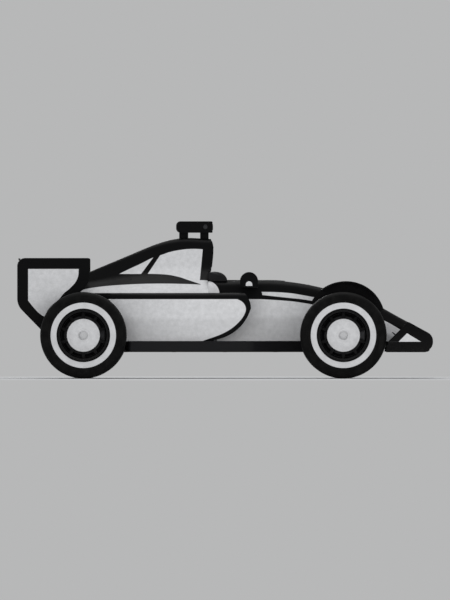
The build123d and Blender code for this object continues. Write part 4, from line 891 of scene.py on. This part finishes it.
for name, side in SIDES.items():
    spots = [(x, 0.648) for x in (-0.85, -0.7, -0.55, -0.4, -0.25, -0.1, 0.04)]
    spots += [(x, 0.272) for x in (-0.85, -0.65, -0.45, -0.25)]
    side_studs(f"{name}_pod_studs", f"sidepod_{name}", side, spots)

# ---- tail skirts
# A carbon strip on each side carries the cover's lower edge down behind the pod to the tyre.
# It is bonded to the cover, and a short cross wall closes the gap behind the pod.
SKIRT_FLANK = [(-0.8, 0.268), (-0.9, 0.235), (-1.000, 0.197), (-1.1, 0.158)]
SKIRT_Z, SKIRT_WALL = (0.6235, 0.6735), 0.003
shape = bmesh.new()
for side in SIDES.values():
    outline = [(x, side * y) for x, y in SKIRT_FLANK]
    outline += [(x, side * (y - SKIRT_WALL)) for x, y in reversed(SKIRT_FLANK)]
    slab(shape, outline, SKIRT_Z[1] - SKIRT_Z[0], Matrix.Translation((0, 0, SKIRT_Z[0])), 0.001)
    block(shape, (-0.902, side * 0.232, SKIRT_Z[0]), (-0.897, side * 0.382, 0.67), 0.001)
mesh_piece(shape, "tail_skirts", carbon, "carbon")

# ---- engine cover
# The cover is one carbon skin from the roll hoop's air intake down to the gearbox, painted
# with a black spine, a leaf-shaped flash and a slanting strip.
SPINE_EDGE = [
    (-1.23, 0.66), (-0.9, 0.788), (-0.823, 0.827), (-0.745, 0.865), (-0.665, 0.902), (-0.556, 0.955),
    (-0.488, 0.976), (-0.44, 0.993), (-0.36, 1.01), (-0.264, 1.0195), (-0.172, 1.016),
]
INTAKE_EDGE = [(0.773, -0.197), (1.019, -0.174)]  # (z, x)
LEAF_TOP = [
    (-1.2, 0.83), (-0.745, 0.822), (-0.585, 0.823), (-0.48, 0.819), (-0.384, 0.804), (-0.296, 0.777),
    (-0.19, 0.741),
]
LEAF_BOTTOM = [
    (-1.135, 0.688), (-1.011, 0.718), (-0.745, 0.74), (-0.545, 0.746), (-0.344, 0.744), (-0.19, 0.738),
]
STRIP_BACK = [(0.821, -0.661), (0.957, -0.56)]  # (z, x)
STRIP_FRONT = [(0.821, -0.609), (0.979, -0.5035)]  # (z, x)


def cover_black(x, y, z):
    intake = both(past(z, x, INTAKE_EDGE), past(x, z, HOOD_BORDER))
    leaf = both(past(x, z, LEAF_BOTTOM), outside(past(x, z, LEAF_TOP)), within(x, -2, -0.191))
    strip = both(past(z, x, STRIP_BACK), outside(past(z, x, STRIP_FRONT)), within(z, 0.8, 0.98))
    middle = within(maths("ABSOLUTE", y), -1, 0.0655)
    duct = both(middle, within(z, 0.86, 1.0775), within(x, -0.4, 0))
    return either(past(x, z, SPINE_EDGE), intake, leaf, strip, duct, inner_face(y, z, 0, 0.75))


dress(painted("cover paint", cover_black), "engine_cover")
for name, side in SIDES.items():
    spots = [(x, 0.69) for x in (-1.06, -0.92, -0.78)] + [(-0.12, z) for z in (0.8, 0.9, 1.00)]
    spots += [(x, 0.78) for x in (-1.02, -0.88, -0.74)]
    side_studs(f"{name}_cover_studs", "engine_cover", side, spots)

# A rolled lip stands round the air intake's mouth.
INTAKE_Z, INTAKE_HALF_WIDTH, INTAKE_MIDDLE_Z, BEND = (0.882, 1.076), 0.064, 0.98, 0.03
low, high = INTAKE_Z
half = INTAKE_HALF_WIDTH
line = [
    (0, low), (half - BEND, low), (half, low), (half, low + BEND), (half, INTAKE_MIDDLE_Z),
    (half, high - BEND), (half, high), (half - BEND, high), (0, high),
]
spots = []
for y, z in line + [(-y, z) for y, z in reversed(line[1:-1])]:
    rise = z - INTAKE_MIDDLE_Z
    start = Vector((0.2, y * 1.12, INTAKE_MIDDLE_Z + rise * 1.06))
    hit, spot, _, _ = nodes["engine_cover"].ray_cast(start, Vector((-1, 0, 0)))
    spots.append((spot.x - 0.001 if hit else -0.1, y * 1.04, INTAKE_MIDDLE_Z + rise * 1.02))
mesh_piece(swept(spots, 0.0055, closed=True), "air_intake_lip", carbon, "carbon")

# ---- air filter
# A slab of oiled foam, cut to the inside of the cover, stands across the airbox in front of
# the engine's inlet trumpets.
FILTER_MIDDLE, FILTER_DEPTH, FILTER_REACH = Vector((-0.475, 0, 0.88)), 0.03, 0.15
material = mottled(
    "filter foam", (0.004, 0.004, 0.005, 1), (0.02, 0.018, 0.019, 1), None, (0.1, 0.6), None, 260.0, 0.001,
    Specular_IOR_Level=0.2, Roughness=0.9,
)
outline = []
for step in range(48):
    turn = math.radians(7.5 * step)
    aim = Vector((0, math.cos(turn), math.sin(turn)))
    hit, spot, _, _ = nodes["engine_cover"].ray_cast(FILTER_MIDDLE, aim)
    reach = min((spot - FILTER_MIDDLE).length, FILTER_REACH) if hit else FILTER_REACH
    outline.append((reach * aim.y, reach * aim.z))
shape = bmesh.new()
slab(shape, outline, FILTER_DEPTH, Matrix.Translation(FILTER_MIDDLE) @ END_ON)
mesh_piece(shape, "air_filter", material, "pad_cover")

# ---- camera pod
# The roll hoop camera is a hollow carbon housing on two posts, with a glass eye on each end
# and one on each side, and four screws on top.
dress(painted("camera paint", lambda x, y, z: within(z, 0, 3)), "camera_pod")
CAMERA_MIDDLE_Z, FRONT_EYE, SIDE_EYE = 1.192, 0.019, 0.014
low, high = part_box("camera_pod")
z = CAMERA_MIDDLE_Z
eyes = [((high[0], y, z), (1, 0, 0), FRONT_EYE) for y in (-0.034, 0.034)]
eyes += [((low[0] + 0.23, side * high[1], z), (0, side, 0), SIDE_EYE) for side in SIDES.values()]
shape, rings = bmesh.new(), bmesh.new()
for spot, axis, r in eyes:
    glass = [(0, -0.001), (r, -0.001), (r, 0.0005), (0.6 * r, 0.0024), (0, 0.003)]
    spun(shape, glass, spot, axis, 32)
    ring = [(r, -0.001), (r + 0.004, -0.001), (r + 0.004, 0.002), (r + 0.0025, 0.0035), (r, 0.003)]
    spun(rings, ring, spot, axis, 32)
screw = [(0, -0.001), (0.005, -0.001), (0.0045, 0.0014), (0.0028, 0.0018), (0.0026, 0.0006), (0, 0.0006)]
for x in (low[0] + 0.04, high[0] - 0.03):
    for y in (-0.045, 0.045):
        spun(rings, screw, (x, y, high[2] - 0.0018), (0, 0, 1), 12)
mesh_piece(shape, "camera_eyes", dark_glass, "dark_steel")
mesh_piece(rings, "camera_rings", dark_steel, "dark_steel")

# ---- mirrors
# Each mirror is a half-round black housing on a flat stalk, open behind over a silvered
# glass, with a pale half-round cap let into each cheek.
MIRROR_X, MIRROR_FOOT_Z, MIRROR_TOP_Z, MIRROR_RADIUS = 0.19, 0.714, 0.837, 0.071
MIRROR_INNER, MIRROR_OUTER = 0.33, 0.452
CHEEK, SHELL, SKIN = 0.008, 0.006, 0.0008
GLASS_X = 0.1575
CAP_Z, CAP_RADIUS, CAP_DEPTH = 0.7385, 0.0255, 0.0022
all_black = painted("black paint", lambda x, y, z: within(z, -1, 3))
pale_paint = painted("pale paint", lambda x, y, z: within(z, -3, -2))
mirror_glass = mottled(
    "mirror glass", (0.62, 0.66, 0.7, 1), (0.5, 0.54, 0.58, 1), (24, 5), Metallic=1.0, Roughness=0.03
)


def half_round(radius, centre_z, first=0, last=180, steps=24):
    """Points (x, z) on an arc about the mirror's middle, between two angles."""
    turns = [math.radians(first + (last - first) * step / steps) for step in range(steps + 1)]
    return [(MIRROR_X + radius * math.cos(turn), centre_z + radius * math.sin(turn)) for turn in turns]


def plate(shape, outline, side, inner, outer, radius=0.0, steps=2):
    """An outline of (x, z) as a plate from y = inner to outer on one side of the car."""
    at = Matrix.Translation((0, min(side * inner, side * outer), 0)) @ SIDE_ON
    slab(shape, outline, outer - inner, at, radius, steps)


dome_z = MIRROR_TOP_Z - MIRROR_RADIUS
cheek = half_round(MIRROR_RADIUS, dome_z)
cheek += [(MIRROR_X - MIRROR_RADIUS, MIRROR_FOOT_Z), (MIRROR_X + MIRROR_RADIUS, MIRROR_FOOT_Z)]
hood = half_round(MIRROR_RADIUS - SKIN, dome_z, 0, 128)
hood += half_round(MIRROR_RADIUS - SHELL, dome_z, 62, 128)[::-1]
hood += [(0.16, MIRROR_FOOT_Z + SKIN), (MIRROR_X + MIRROR_RADIUS - SKIN, MIRROR_FOOT_Z + SKIN)]
cap = half_round(CAP_RADIUS, CAP_Z, steps=18)
cap += [(MIRROR_X - CAP_RADIUS, 0.7275), (MIRROR_X + CAP_RADIUS, 0.7275)]
glass = [(0.338, 0.724), (0.338, 0.802), (0.346, 0.81), (0.436, 0.81), (0.444, 0.802), (0.444, 0.724)]
for name, side in SIDES.items():
    shape = bmesh.new()
    for inner in (MIRROR_INNER, MIRROR_OUTER - CHEEK):
        plate(shape, cheek, side, inner, inner + CHEEK, 0.003)
    plate(shape, hood, side, MIRROR_INNER + 0.004, MIRROR_OUTER - 0.004)
    near, far = side * 0.24, side * (MIRROR_INNER + 0.004)
    block(shape, (0.166, near, 0.722), (0.214, far, 0.731), 0.004, 3)
    foot = min(near, far) + 0.03
    block(shape, (0.122, foot, MIRROR_FOOT_Z + SKIN), (0.2, foot + 0.001, MIRROR_FOOT_Z + 0.002))
    stands_for = ["mirrors"] if side > 0 else []
    mesh_piece(shape, f"{name}_mirror_housing", all_black, "carbon", "chassis", *stands_for)

    shape = bmesh.new()
    corners = [(side * y, z) for y, z in glass]
    slab(shape, corners, 0.004, Matrix.Translation((GLASS_X, 0, 0)) @ END_ON, 0.0008)
    mesh_piece(shape, f"{name}_mirror_glass", mirror_glass, "dark_steel")

    shape = bmesh.new()
    for inner in (MIRROR_INNER - 0.0006, MIRROR_OUTER - 0.0016):
        plate(shape, cap, side, inner, inner + CAP_DEPTH, 0.0005, 1)
    mesh_piece(shape, f"{name}_mirror_caps", pale_paint, "body_paint")

# ---- nose cone
# The nose is a crushable carbon box that latches hold to the tub's front bulkhead.
# The black deck runs down it to the tip and back along its underside.


def nose_black(x, y, z):
    return either(past(x, z, DECK_EDGE), within(z, *FLOOR_BAND_Z), within(x, *NOSE_JOINT_X))


dress(painted("nose paint", nose_black), "nose_cone")
for name, node, spots in (
    ("nose_studs", "nose_cone", ((1.115, 0.075), (1.22, 0.085), (1.34, 0.085))),
    ("hatch_studs", "monocoque", ((0.66, 0.13), (0.8, 0.13), (0.94, 0.13))),
):
    studs(name, node, (0, 0, -1), [(x, side * y, ABOVE_Z) for x, y in spots for side in (-1, 1)])

# ---- front wing
# Carbon planes between flat side plates on rubbing skids; the flaps turn on screws in the
# plates, and slot brackets keep their gap to the main plane.
dress(carbon, "front_wing_planes", "wing_pylons")
FRONT_PLATE_Y = 0.79
SKID_INNER, SKID_OUTER = 0.7795, 0.7915
WINDOW_BACK = [(1.361, 0.289), (1.428, 0.356)]


def front_plate_black(x, y, z):
    """All but a pale window with a slanting back edge."""
    edges = outside(past(x, z, DECK_EDGE)), outside(past(x, z, WINDOW_BACK))
    return outside(both(within(z, 0.29, 0.4), within(x, 1.0, 1.5365), *edges))


dress(painted("front plate paint", front_plate_black), "front_endplates")


def side_screws(name, plate_y, spots):
    """Screws through both side plates of a wing, at places (x, z)."""
    profile = [
        (0, -0.001), (0.0065, -0.001), (0.0065, 0.0012), (0.0052, 0.0024), (0.0034, 0.0024), (0.003, 0.001),
        (0, 0.001),
    ]
    shape = bmesh.new()
    for side in SIDES.values():
        for x, z in spots:
            spun(shape, profile, (x, side * plate_y, z), (0, side, 0), 16)
    mesh_piece(shape, name, all_black, "dark_steel")


spots = ((1.3, 0.232), (1.46, 0.232), (1.575, 0.232), (1.318, 0.268), (1.395, 0.262))
side_screws("front_plate_screws", FRONT_PLATE_Y, spots)
skid = [
    (1.264, 0.2075), (1.57, 0.2075), (1.596, 0.214), (1.606, 0.224), (1.606, 0.232), (1.284, 0.232),
    (1.28, 0.262), (1.269, 0.262),
]
bracket = [(1.468, 0.246), (1.462, 0.27), (1.4, 0.308), (1.37, 0.32), (1.36, 0.256)]
skids, brackets = bmesh.new(), bmesh.new()
for side in SIDES.values():
    plate(skids, skid, side, SKID_INNER, SKID_OUTER, 0.002, 1)
    for y in (0.3, 0.46, 0.62):
        plate(brackets, bracket, side, y - 0.0015, y + 0.0015, 0.0008, 1)
mesh_piece(skids, "front_plate_skids", all_black, "carbon")
mesh_piece(brackets, "flap_brackets", carbon, "carbon")

# ---- rear wing
# The main plane hangs on two struts from the gearbox; the side plates carry the flap and the
# lower beam, each with screws along the joint.
dress(carbon, "rear_wing_planes")
REAR_PLATE_INSIDE = [
    (-1.546, 0.613), (-1.499, 0.554), (-1.451, 0.507), (-1.412, 0.491), (-1.396, 0.531), (-1.357, 0.578),
    (-1.302, 0.625), (-1.263, 0.672), (-1.216, 0.711), (-1.161, 0.782), (-1.149, 0.861),
]


def rear_plate_black(x, y, z):
    (rear, _), (front, top) = REAR_PLATE_INSIDE[0], REAR_PLATE_INSIDE[-1]
    return outside(both(past(x, z, REAR_PLATE_INSIDE), within(z, 0, top), within(x, rear, front)))


dress(painted("rear plate paint", rear_plate_black), "rear_endplates")
spots = ((-1.13, 0.893), (-1.22, 0.893), (-1.32, 0.899), (-1.42, 0.905), (-1.53, 0.915), (-1.59, 0.925))
side_screws("rear_plate_screws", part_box("rear_endplates")[1][1], spots)

# ---- wishbones and uprights
# The arms are carbon tubes with steel eyes; the uprights are machined castings that carry
# the brake calipers. Round the brakes sit thin carbon drums that duct the cooling air.
AXLE_Z, HALF_TRACK = 0.34, 0.8
AXLES = {"front": (0.93, 0.26, 0.585), "rear": (-1.11, 0.33, 0.548)}  # x, tyre width, upright's y
CORNERS = [(axle, name, side, *sizes) for axle, sizes in AXLES.items() for name, side in SIDES.items()]
DRUM_PLATE_Y, DRUM_MOUTH_Y, DRUM_RADIUS, DRUM_WALL = 0.6215, 0.716, 0.1745, 0.0025
dress(carbon, "front_wishbones", "rear_wishbones")
dress(cast_metal, "rear_uprights", "front_left_upright", "front_right_upright")
dress(all_black, "front_left_deflector", "front_right_deflector")
washer = [(0.0105, 0), (0.0175, 0), (0.0175, 0.0016), (0.016, 0.0026), (0.0105, 0.0026)]
washers = bmesh.new()
for _, _, side, axle_x, _, upright_y in CORNERS:
    for z in (0.472, 0.208):
        for way in (1, -1):
            spun(washers, washer, (axle_x, side * upright_y, z + way * 0.01), (0, 0, way), 24)
mesh_piece(washers, "wishbone_washers", bright_steel, "dark_steel")
y, r, wall = DRUM_PLATE_Y, DRUM_RADIUS, DRUM_WALL
drum = [
    (0.04, y), (r - 0.012, y), (r - 0.003, y + 0.003), (r, y + 0.012), (r, DRUM_MOUTH_Y),
    (r - wall, DRUM_MOUTH_Y), (r - wall, y + 0.014), (r - 0.006, y + 0.0055), (r - 0.014, y + wall),
    (0.04, y + wall),
]
for axle, name, side, axle_x, _, _ in CORNERS:
    shape = bmesh.new()
    spun(shape, drum, (axle_x, 0, AXLE_Z), (0, side, 0), 72)
    body = f"front_{name}_knuckle" if axle == "front" else "chassis"
    mesh_piece(shape, f"{axle}_{name}_brake_drum", carbon, "carbon", body)

# ---- wheels
# Slick tyres on spoked alloy rims: one centre nut holds each to a steel spindle, which also
# turns the carbon brake disc and, at the rear, the half shaft.
TYRE_RADIUS, SHOULDER, CROWN = 0.34, 0.04, 0.0015
PALE_BAND = (0.2105, 0.2565)
DISH_EDGE = (0.1285, 0.1305)
SPOKES, SPOKE_Y, SPOKE_RADII = 10, 0.736, (0.122, 0.184)
DISC_Y, DISC_WALL, VANES = (0.66, 0.688), 0.009, 36
PEGS, PEG_CIRCLE = 6, 0.046
NUT_FACE_Y, NUT_END_Y, NUT_RADIUS, HEX_RADIUS = 0.762, 0.784, 0.036, 0.0312
BOOT_FOLDS = 5


def from_axle(material):
    """The distance from the axle that each wheel piece keeps at its points."""
    return add(material.node_tree, "Attribute", attribute_name="from_axle").outputs["Fac"]


material, vector = new_material("tyre rubber", Specular_IOR_Level=0.1)
radius = from_axle(material)
grain, scuff = noise(vector, 300), noise(vector, 22, 4)
pale = blended(stretch(scuff, 0.3, 0.75), PALE_GREY, (0.41, 0.41, 0.415, 1))
black = blended(stretch(scuff, 0.35, 0.8), (0.002, 0.002, 0.002, 1), (0.0055, 0.0054, 0.0052, 1))
tread = stretch(radius, TYRE_RADIUS - 0.0025, TYRE_RADIUS - 0.0005)
worn = blended(times(tread, stretch(grain, 0.35, 0.65)), black, (0.014, 0.0137, 0.0133, 1))
rough = scaled(grain, 0.2, scaled(tread, 0.12, 0.5))
rubber = finish_with(material, blended(within(radius, *PALE_BAND), worn, pale), rough, grain)

material, vector = new_material("rim paint", Specular_IOR_Level=0.14)
mask = stretch(from_axle(material), *DISH_EDGE)
results = use_group(paint_group, Vector=vector, Mask=mask, Pale=PALE_GREY, Dark=DEEP_BLACK)
rim_paint = finish_with(material, *results)

nut_finish = mottled(
    "nut anodising", (0.44, 0.44, 0.445, 1), (0.52, 0.52, 0.525, 1), (90, 4), None, (0.3, 0.7, 0.34, 0.48),
    None, 0.0003, Metallic=0.4, Specular_IOR_Level=0.4,
)

material, vector = new_material("brake carbon", Specular_IOR_Level=0.3)
turned = add(material.node_tree, "CombineXYZ", {0: times(from_axle(material), 900)}).outputs[0]
rings = noise(turned, 1, 2)
tone = blended(rings, (0.006, 0.006, 0.0065, 1), (0.022, 0.022, 0.023, 1))
brake_carbon = finish_with(material, tone, stretch(rings, 0.2, 0.8, 0.35, 0.6), noise(vector, 350), 0.0004)


def keep_radius(piece, axle_x):
    """Stores each point's distance from the axle for the finish to read."""
    mesh = piece.data
    values = [math.hypot(point.co.x - axle_x, point.co.z - AXLE_Z) for point in mesh.vertices]
    mesh.attributes.new("from_axle", "FLOAT", "POINT").data.foreach_set("value", values)


def tyre_profile(outer, inner):
    """Closed outline: bead, side wall with a sunk band and a rib, round shoulder, crowned tread."""
    wall = [
        (0.1905, 0.0145), (0.2045, 0.0145), (0.2075, 0.006), (0.2095, 0.0024), (0.2105, 0.003),
        (0.2335, 0.0014), (0.2565, 0.0024), (0.2578, 0.0008), (0.261, 0.0), (0.279, 0.0), (0.28, 0.001),
        (0.2812, 0.001), (0.2822, 0.0), (0.2925, 0.0),
    ]
    centre = TYRE_RADIUS - CROWN - SHOULDER
    for turn in (math.radians(15 * step) for step in range(1, 7)):
        wall.append((centre + SHOULDER * math.sin(turn), SHOULDER - SHOULDER * math.cos(turn)))
    edge = TYRE_RADIUS - 0.0005
    tread = [(edge, outer - 0.075), (TYRE_RADIUS, (outer + inner) / 2), (edge, inner + 0.075)]
    half = [(r, outer - depth) for r, depth in wall]
    return half + tread + [(r, inner + depth) for r, depth in reversed(wall)]


def add_spoke(shape, centre, side, angle):
    """One rounded bar from the dish to the barrel, narrower and deeper at its outer end."""
    made = bmesh.ops.create_cube(shape, size=1)["verts"]
    for point in made:
        out = point.co.z > 0
        point.co.x *= 0.022 if out else 0.034
        point.co.y = SPOKE_Y + point.co.y * (0.024 if out else 0.013)
        point.co.z = SPOKE_RADII[out]
    turn = Matrix.Translation(centre) @ Matrix.Rotation(angle, 4, "Y") @ Matrix.Scale(side, 4, (0, 1, 0))
    bmesh.ops.transform(shape, matrix=turn, verts=made)
    rounded(shape, edges_of(made), 0.004, 3)


def about_axle(centre, angle):
    return Matrix.Translation(centre) @ Matrix.Rotation(angle, 4, "Y")


def even_turns(count):
    return [2 * math.pi * index / count for index in range(count)]


# Spun outlines (radius, along) that don't depend on the tyre's width
DISH = [
    (0.0235, 0.726), (0.122, 0.729), (0.13, 0.735), (0.13, 0.744), (0.127, 0.7475), (0.12, 0.748),
    (0.112, 0.7515), (0.09, 0.757), (0.064, 0.761), (0.052, 0.7618), (0.0505, 0.76), (0.0235, 0.76),
]
SPINDLE = [
    (0.028, 0.6595), (0.0315, 0.66), (0.0315, 0.6885), (0.055, 0.69), (0.0605, 0.692), (0.062, 0.718),
    (0.0605, 0.7258), (0.0235, 0.726), (0.0225, 0.7258), (0.0225, 0.764), (0.02, 0.766), (0, 0.766),
]
PEG = [(0, 0), (0.0055, 0), (0.0055, 0.0085), (0.0045, 0.0095), (0, 0.0095)]
SHAFT = [
    (0, 0.1), (0.013, 0.1), (0.015, 0.102), (0.015, 0.215), (0.012, 0.222), (0.012, 0.42), (0.015, 0.428),
]
BELL = [(0.03, 0.67), (0.088, 0.67), (0.0905, 0.672), (0.0905, 0.676), (0.088, 0.678), (0.03, 0.678)]
COLLAR = [
    (0.0205, NUT_FACE_Y - 0.0018), (0.0355, NUT_FACE_Y - 0.0018), (NUT_RADIUS, NUT_FACE_Y),
    (NUT_RADIUS, NUT_FACE_Y + 0.0045), (0.0345, NUT_FACE_Y + 0.006), (0.03, NUT_FACE_Y + 0.0065),
    (0.0205, NUT_FACE_Y + 0.0065),
]
NUT_CAP = [
    (0, NUT_END_Y - 0.003), (0.0225, NUT_END_Y - 0.003), (0.0215, NUT_END_Y - 0.0006), (0.019, NUT_END_Y),
    (0, NUT_END_Y),
]
BOOT = [(0.0152, 0.206), (0.019, 0.206), (0.019, 0.199)]
for fold in range(BOOT_FOLDS):
    foot_r, foot_y = 0.02 + 0.0035 * fold, 0.195 - 0.011 * fold
    BOOT += [(foot_r + 0.004, foot_y), (foot_r, foot_y - 0.0055)]
BOOT += [(0.041, 0.14), (0.041, 0.126), (0.0152, 0.126)]

for axle, name, side, axle_x, width, upright_y in CORNERS:
    outer, inner = HALF_TRACK, HALF_TRACK - width
    corner, wheel, centre, out = f"{axle}_{name}", f"{axle}_{name}_wheel", (axle_x, 0, AXLE_Z), (0, side, 0)
    shape = bmesh.new()
    spun(shape, tyre_profile(outer, inner), centre, out, 128)
    tyre = mesh_piece(shape, f"{corner}_slick_tyre", rubber, "tyre_rubber", wheel, f"{corner}_tyre")
    keep_radius(tyre, axle_x)

    barrel = [
        (0.181, inner + 0.002), (0.2, inner), (0.204, inner + 0.002), (0.204, inner + 0.012),
        (0.19, inner + 0.0145), (0.19, outer - 0.0145), (0.204, outer - 0.012), (0.204, outer - 0.004),
        (0.201, outer - 0.001), (0.197, outer - 0.001), (0.193, outer - 0.007), (0.186, outer - 0.016),
        (0.181, outer - 0.024), (0.181, 0.61), (0.171, 0.606), (0.171, 0.602), (0.181, 0.598),
    ]
    shape = bmesh.new()
    spun(shape, barrel, centre, out, 96)
    spun(shape, DISH, centre, out, 96)
    for angle in even_turns(SPOKES):
        add_spoke(shape, centre, side, angle)
    rim = mesh_piece(shape, f"{corner}_spoked_rim", rim_paint, "wheel_paint", wheel, f"{corner}_rim")
    keep_radius(rim, axle_x)

    end = upright_y - 0.025
    shape = bmesh.new()
    spun(shape, [(0, end), (0.026, end), (0.028, end + 0.002)] + SPINDLE, centre, out, 64)
    for angle in even_turns(PEGS):
        peg_foot = about_axle(centre, angle) @ Vector((PEG_CIRCLE, side * 0.6895, 0))
        spun(shape, PEG, peg_foot, (0, -side, 0), 16)
    if axle == "rear":
        spun(shape, SHAFT + [(0.015, end + 0.001), (0, end + 0.001)], centre, out, 32)
    mesh_piece(shape, f"{corner}_spindle", bright_steel, "dark_steel", wheel, f"{corner}_hub")

    shape = bmesh.new()
    for low, high in ((DISC_Y[0], DISC_Y[0] + DISC_WALL), (DISC_Y[1] - DISC_WALL, DISC_Y[1])):
        ring = [
            (0.088, low + 0.001), (0.09, low), (0.1485, low), (0.15, low + 0.0015), (0.15, high - 0.0015),
            (0.1485, high), (0.09, high), (0.088, high - 0.001),
        ]
        spun(shape, ring, centre, out, 96)
    for angle in even_turns(VANES):
        near, far = side * (DISC_Y[0] + 0.008), side * (DISC_Y[1] - 0.008)
        block(shape, (0.092, near, -0.0028), (0.148, far, 0.0028), 0, 1, about_axle(centre, angle))
    spun(shape, BELL, centre, out, 64)
    keep_radius(mesh_piece(shape, f"{corner}_brake_disc", brake_carbon, "carbon", wheel), axle_x)

    hexagon = [
        (axle_x + HEX_RADIUS * math.cos(turn), AXLE_Z + HEX_RADIUS * math.sin(turn)) for turn in even_turns(6)
    ]
    shape = bmesh.new()
    spun(shape, COLLAR, centre, out, 48)
    plate(shape, hexagon, side, NUT_FACE_Y + 0.004, NUT_END_Y - 0.002, 0.003, 3)
    spun(shape, NUT_CAP, centre, out, 40)
    mesh_piece(shape, f"{corner}_wheel_nut", nut_finish, "wheel_paint", wheel)

    if axle == "rear":
        shape = bmesh.new()
        spun(shape, BOOT, centre, out, 40)
        mesh_piece(shape, f"{corner}_shaft_boot", grip_rubber, "tyre_rubber", wheel)

# ---- studio
# A pale floor that fades into a pale surround, soft lamps, and the camera square to the side.
# The floor shows from above only, so that the car can be looked at from below.
GROUND = (0.475, 0.478, 0.48, 1)
FLOOR_MATT = (0.5, 0.502, 0.504, 1)
FLOOR_RADIUS, FADE = 16, (1.9, 4.5)
SKY, SKY_STRENGTH = (0.9, 0.92, 0.95, 1), 0.72
# Name, place, size and power of the lamps, which all look at the middle of the car
LAMPS = (
    ("overhead", (0, 0, 6.5), (7, 5), 170),
    ("camera side", (1.0, -8, 1.1), (11, 2), 450),
    ("far side", (-3, 8, 4.5), (6, 4), 260),
)
CAR_MIDDLE = Vector((0, 0, 0.5))
CAMERA_PLACE, CAMERA_LENS = (0.001, -151.07, 0.617), 1150


def seen(tree):
    """1 where a ray from the camera, a mirror or a glass meets the surface or the world."""
    rays = add(tree, "LightPath").outputs
    return either(*(rays[f"Is {kind} Ray"] for kind in ("Camera", "Glossy", "Transmission")))


def mixed(share, one, other):
    """Mixes two shaders by share."""
    inputs = {0: share, 1: one.outputs[0], 2: other.outputs[0]}
    return add(share.id_data, "MixShader", inputs)


scene.view_settings.view_transform = "Standard"
world = bpy.data.worlds.new("studio")
scene.world = world
world.use_nodes = True
tree = world.node_tree
tree.nodes.clear()
lit = add(tree, "Background", {"Color": SKY, "Strength": SKY_STRENGTH})
shown = add(tree, "Background", {"Color": GROUND, "Strength": 1.0})
tree.links.new(mixed(seen(tree), lit, shown).outputs[0], add(tree, "OutputWorld").inputs[0])

shape = bmesh.new()
bmesh.ops.create_circle(shape, cap_ends=True, segments=96, radius=FLOOR_RADIUS)
floor = put_in("floor", mesh_of(shape, "floor"))
material = bpy.data.materials.new("pale floor")
material.use_nodes = True
tree = material.node_tree
tree.nodes.clear()
vector = add(tree, "TexCoord").outputs["Object"]
reach = add(tree, "VectorMath", {0: vector}, operation="LENGTH").outputs["Value"]
matt = add(tree, "BsdfDiffuse", {"Color": FLOOR_MATT})
glow = add(tree, "Emission", {"Color": GROUND, "Strength": 1.0})
faded = mixed(times(stretch(reach, *FADE), seen(tree)), matt, glow)
camera_ray = add(tree, "LightPath").outputs["Is Camera Ray"]
below = both(camera_ray, add(tree, "NewGeometry").outputs["Backfacing"])
surface = mixed(below, faded, add(tree, "BsdfTransparent"))
tree.links.new(surface.outputs[0], add(tree, "OutputMaterial").inputs[0])
floor.data.materials.append(material)

for name, spot, size, power in LAMPS:
    lamp = bpy.data.lights.new(name, "AREA")
    lamp.shape = "RECTANGLE"
    lamp.size, lamp.size_y = size
    lamp.energy = power
    holder = put_in(name, lamp)
    holder.location = spot
    holder.rotation_euler = (CAR_MIDDLE - Vector(spot)).to_track_quat("-Z", "Y").to_euler()
    holder.visible_camera = False
    holder.visible_glossy = name != "camera side"

camera = bpy.data.cameras.new("camera")
camera.lens = CAMERA_LENS
camera.sensor_width = 36
camera.clip_start, camera.clip_end = 1, 300
eye = put_in("camera", camera)
eye.location = CAMERA_PLACE
eye.rotation_euler = (math.pi / 2, 0, 0)
scene.camera = eye
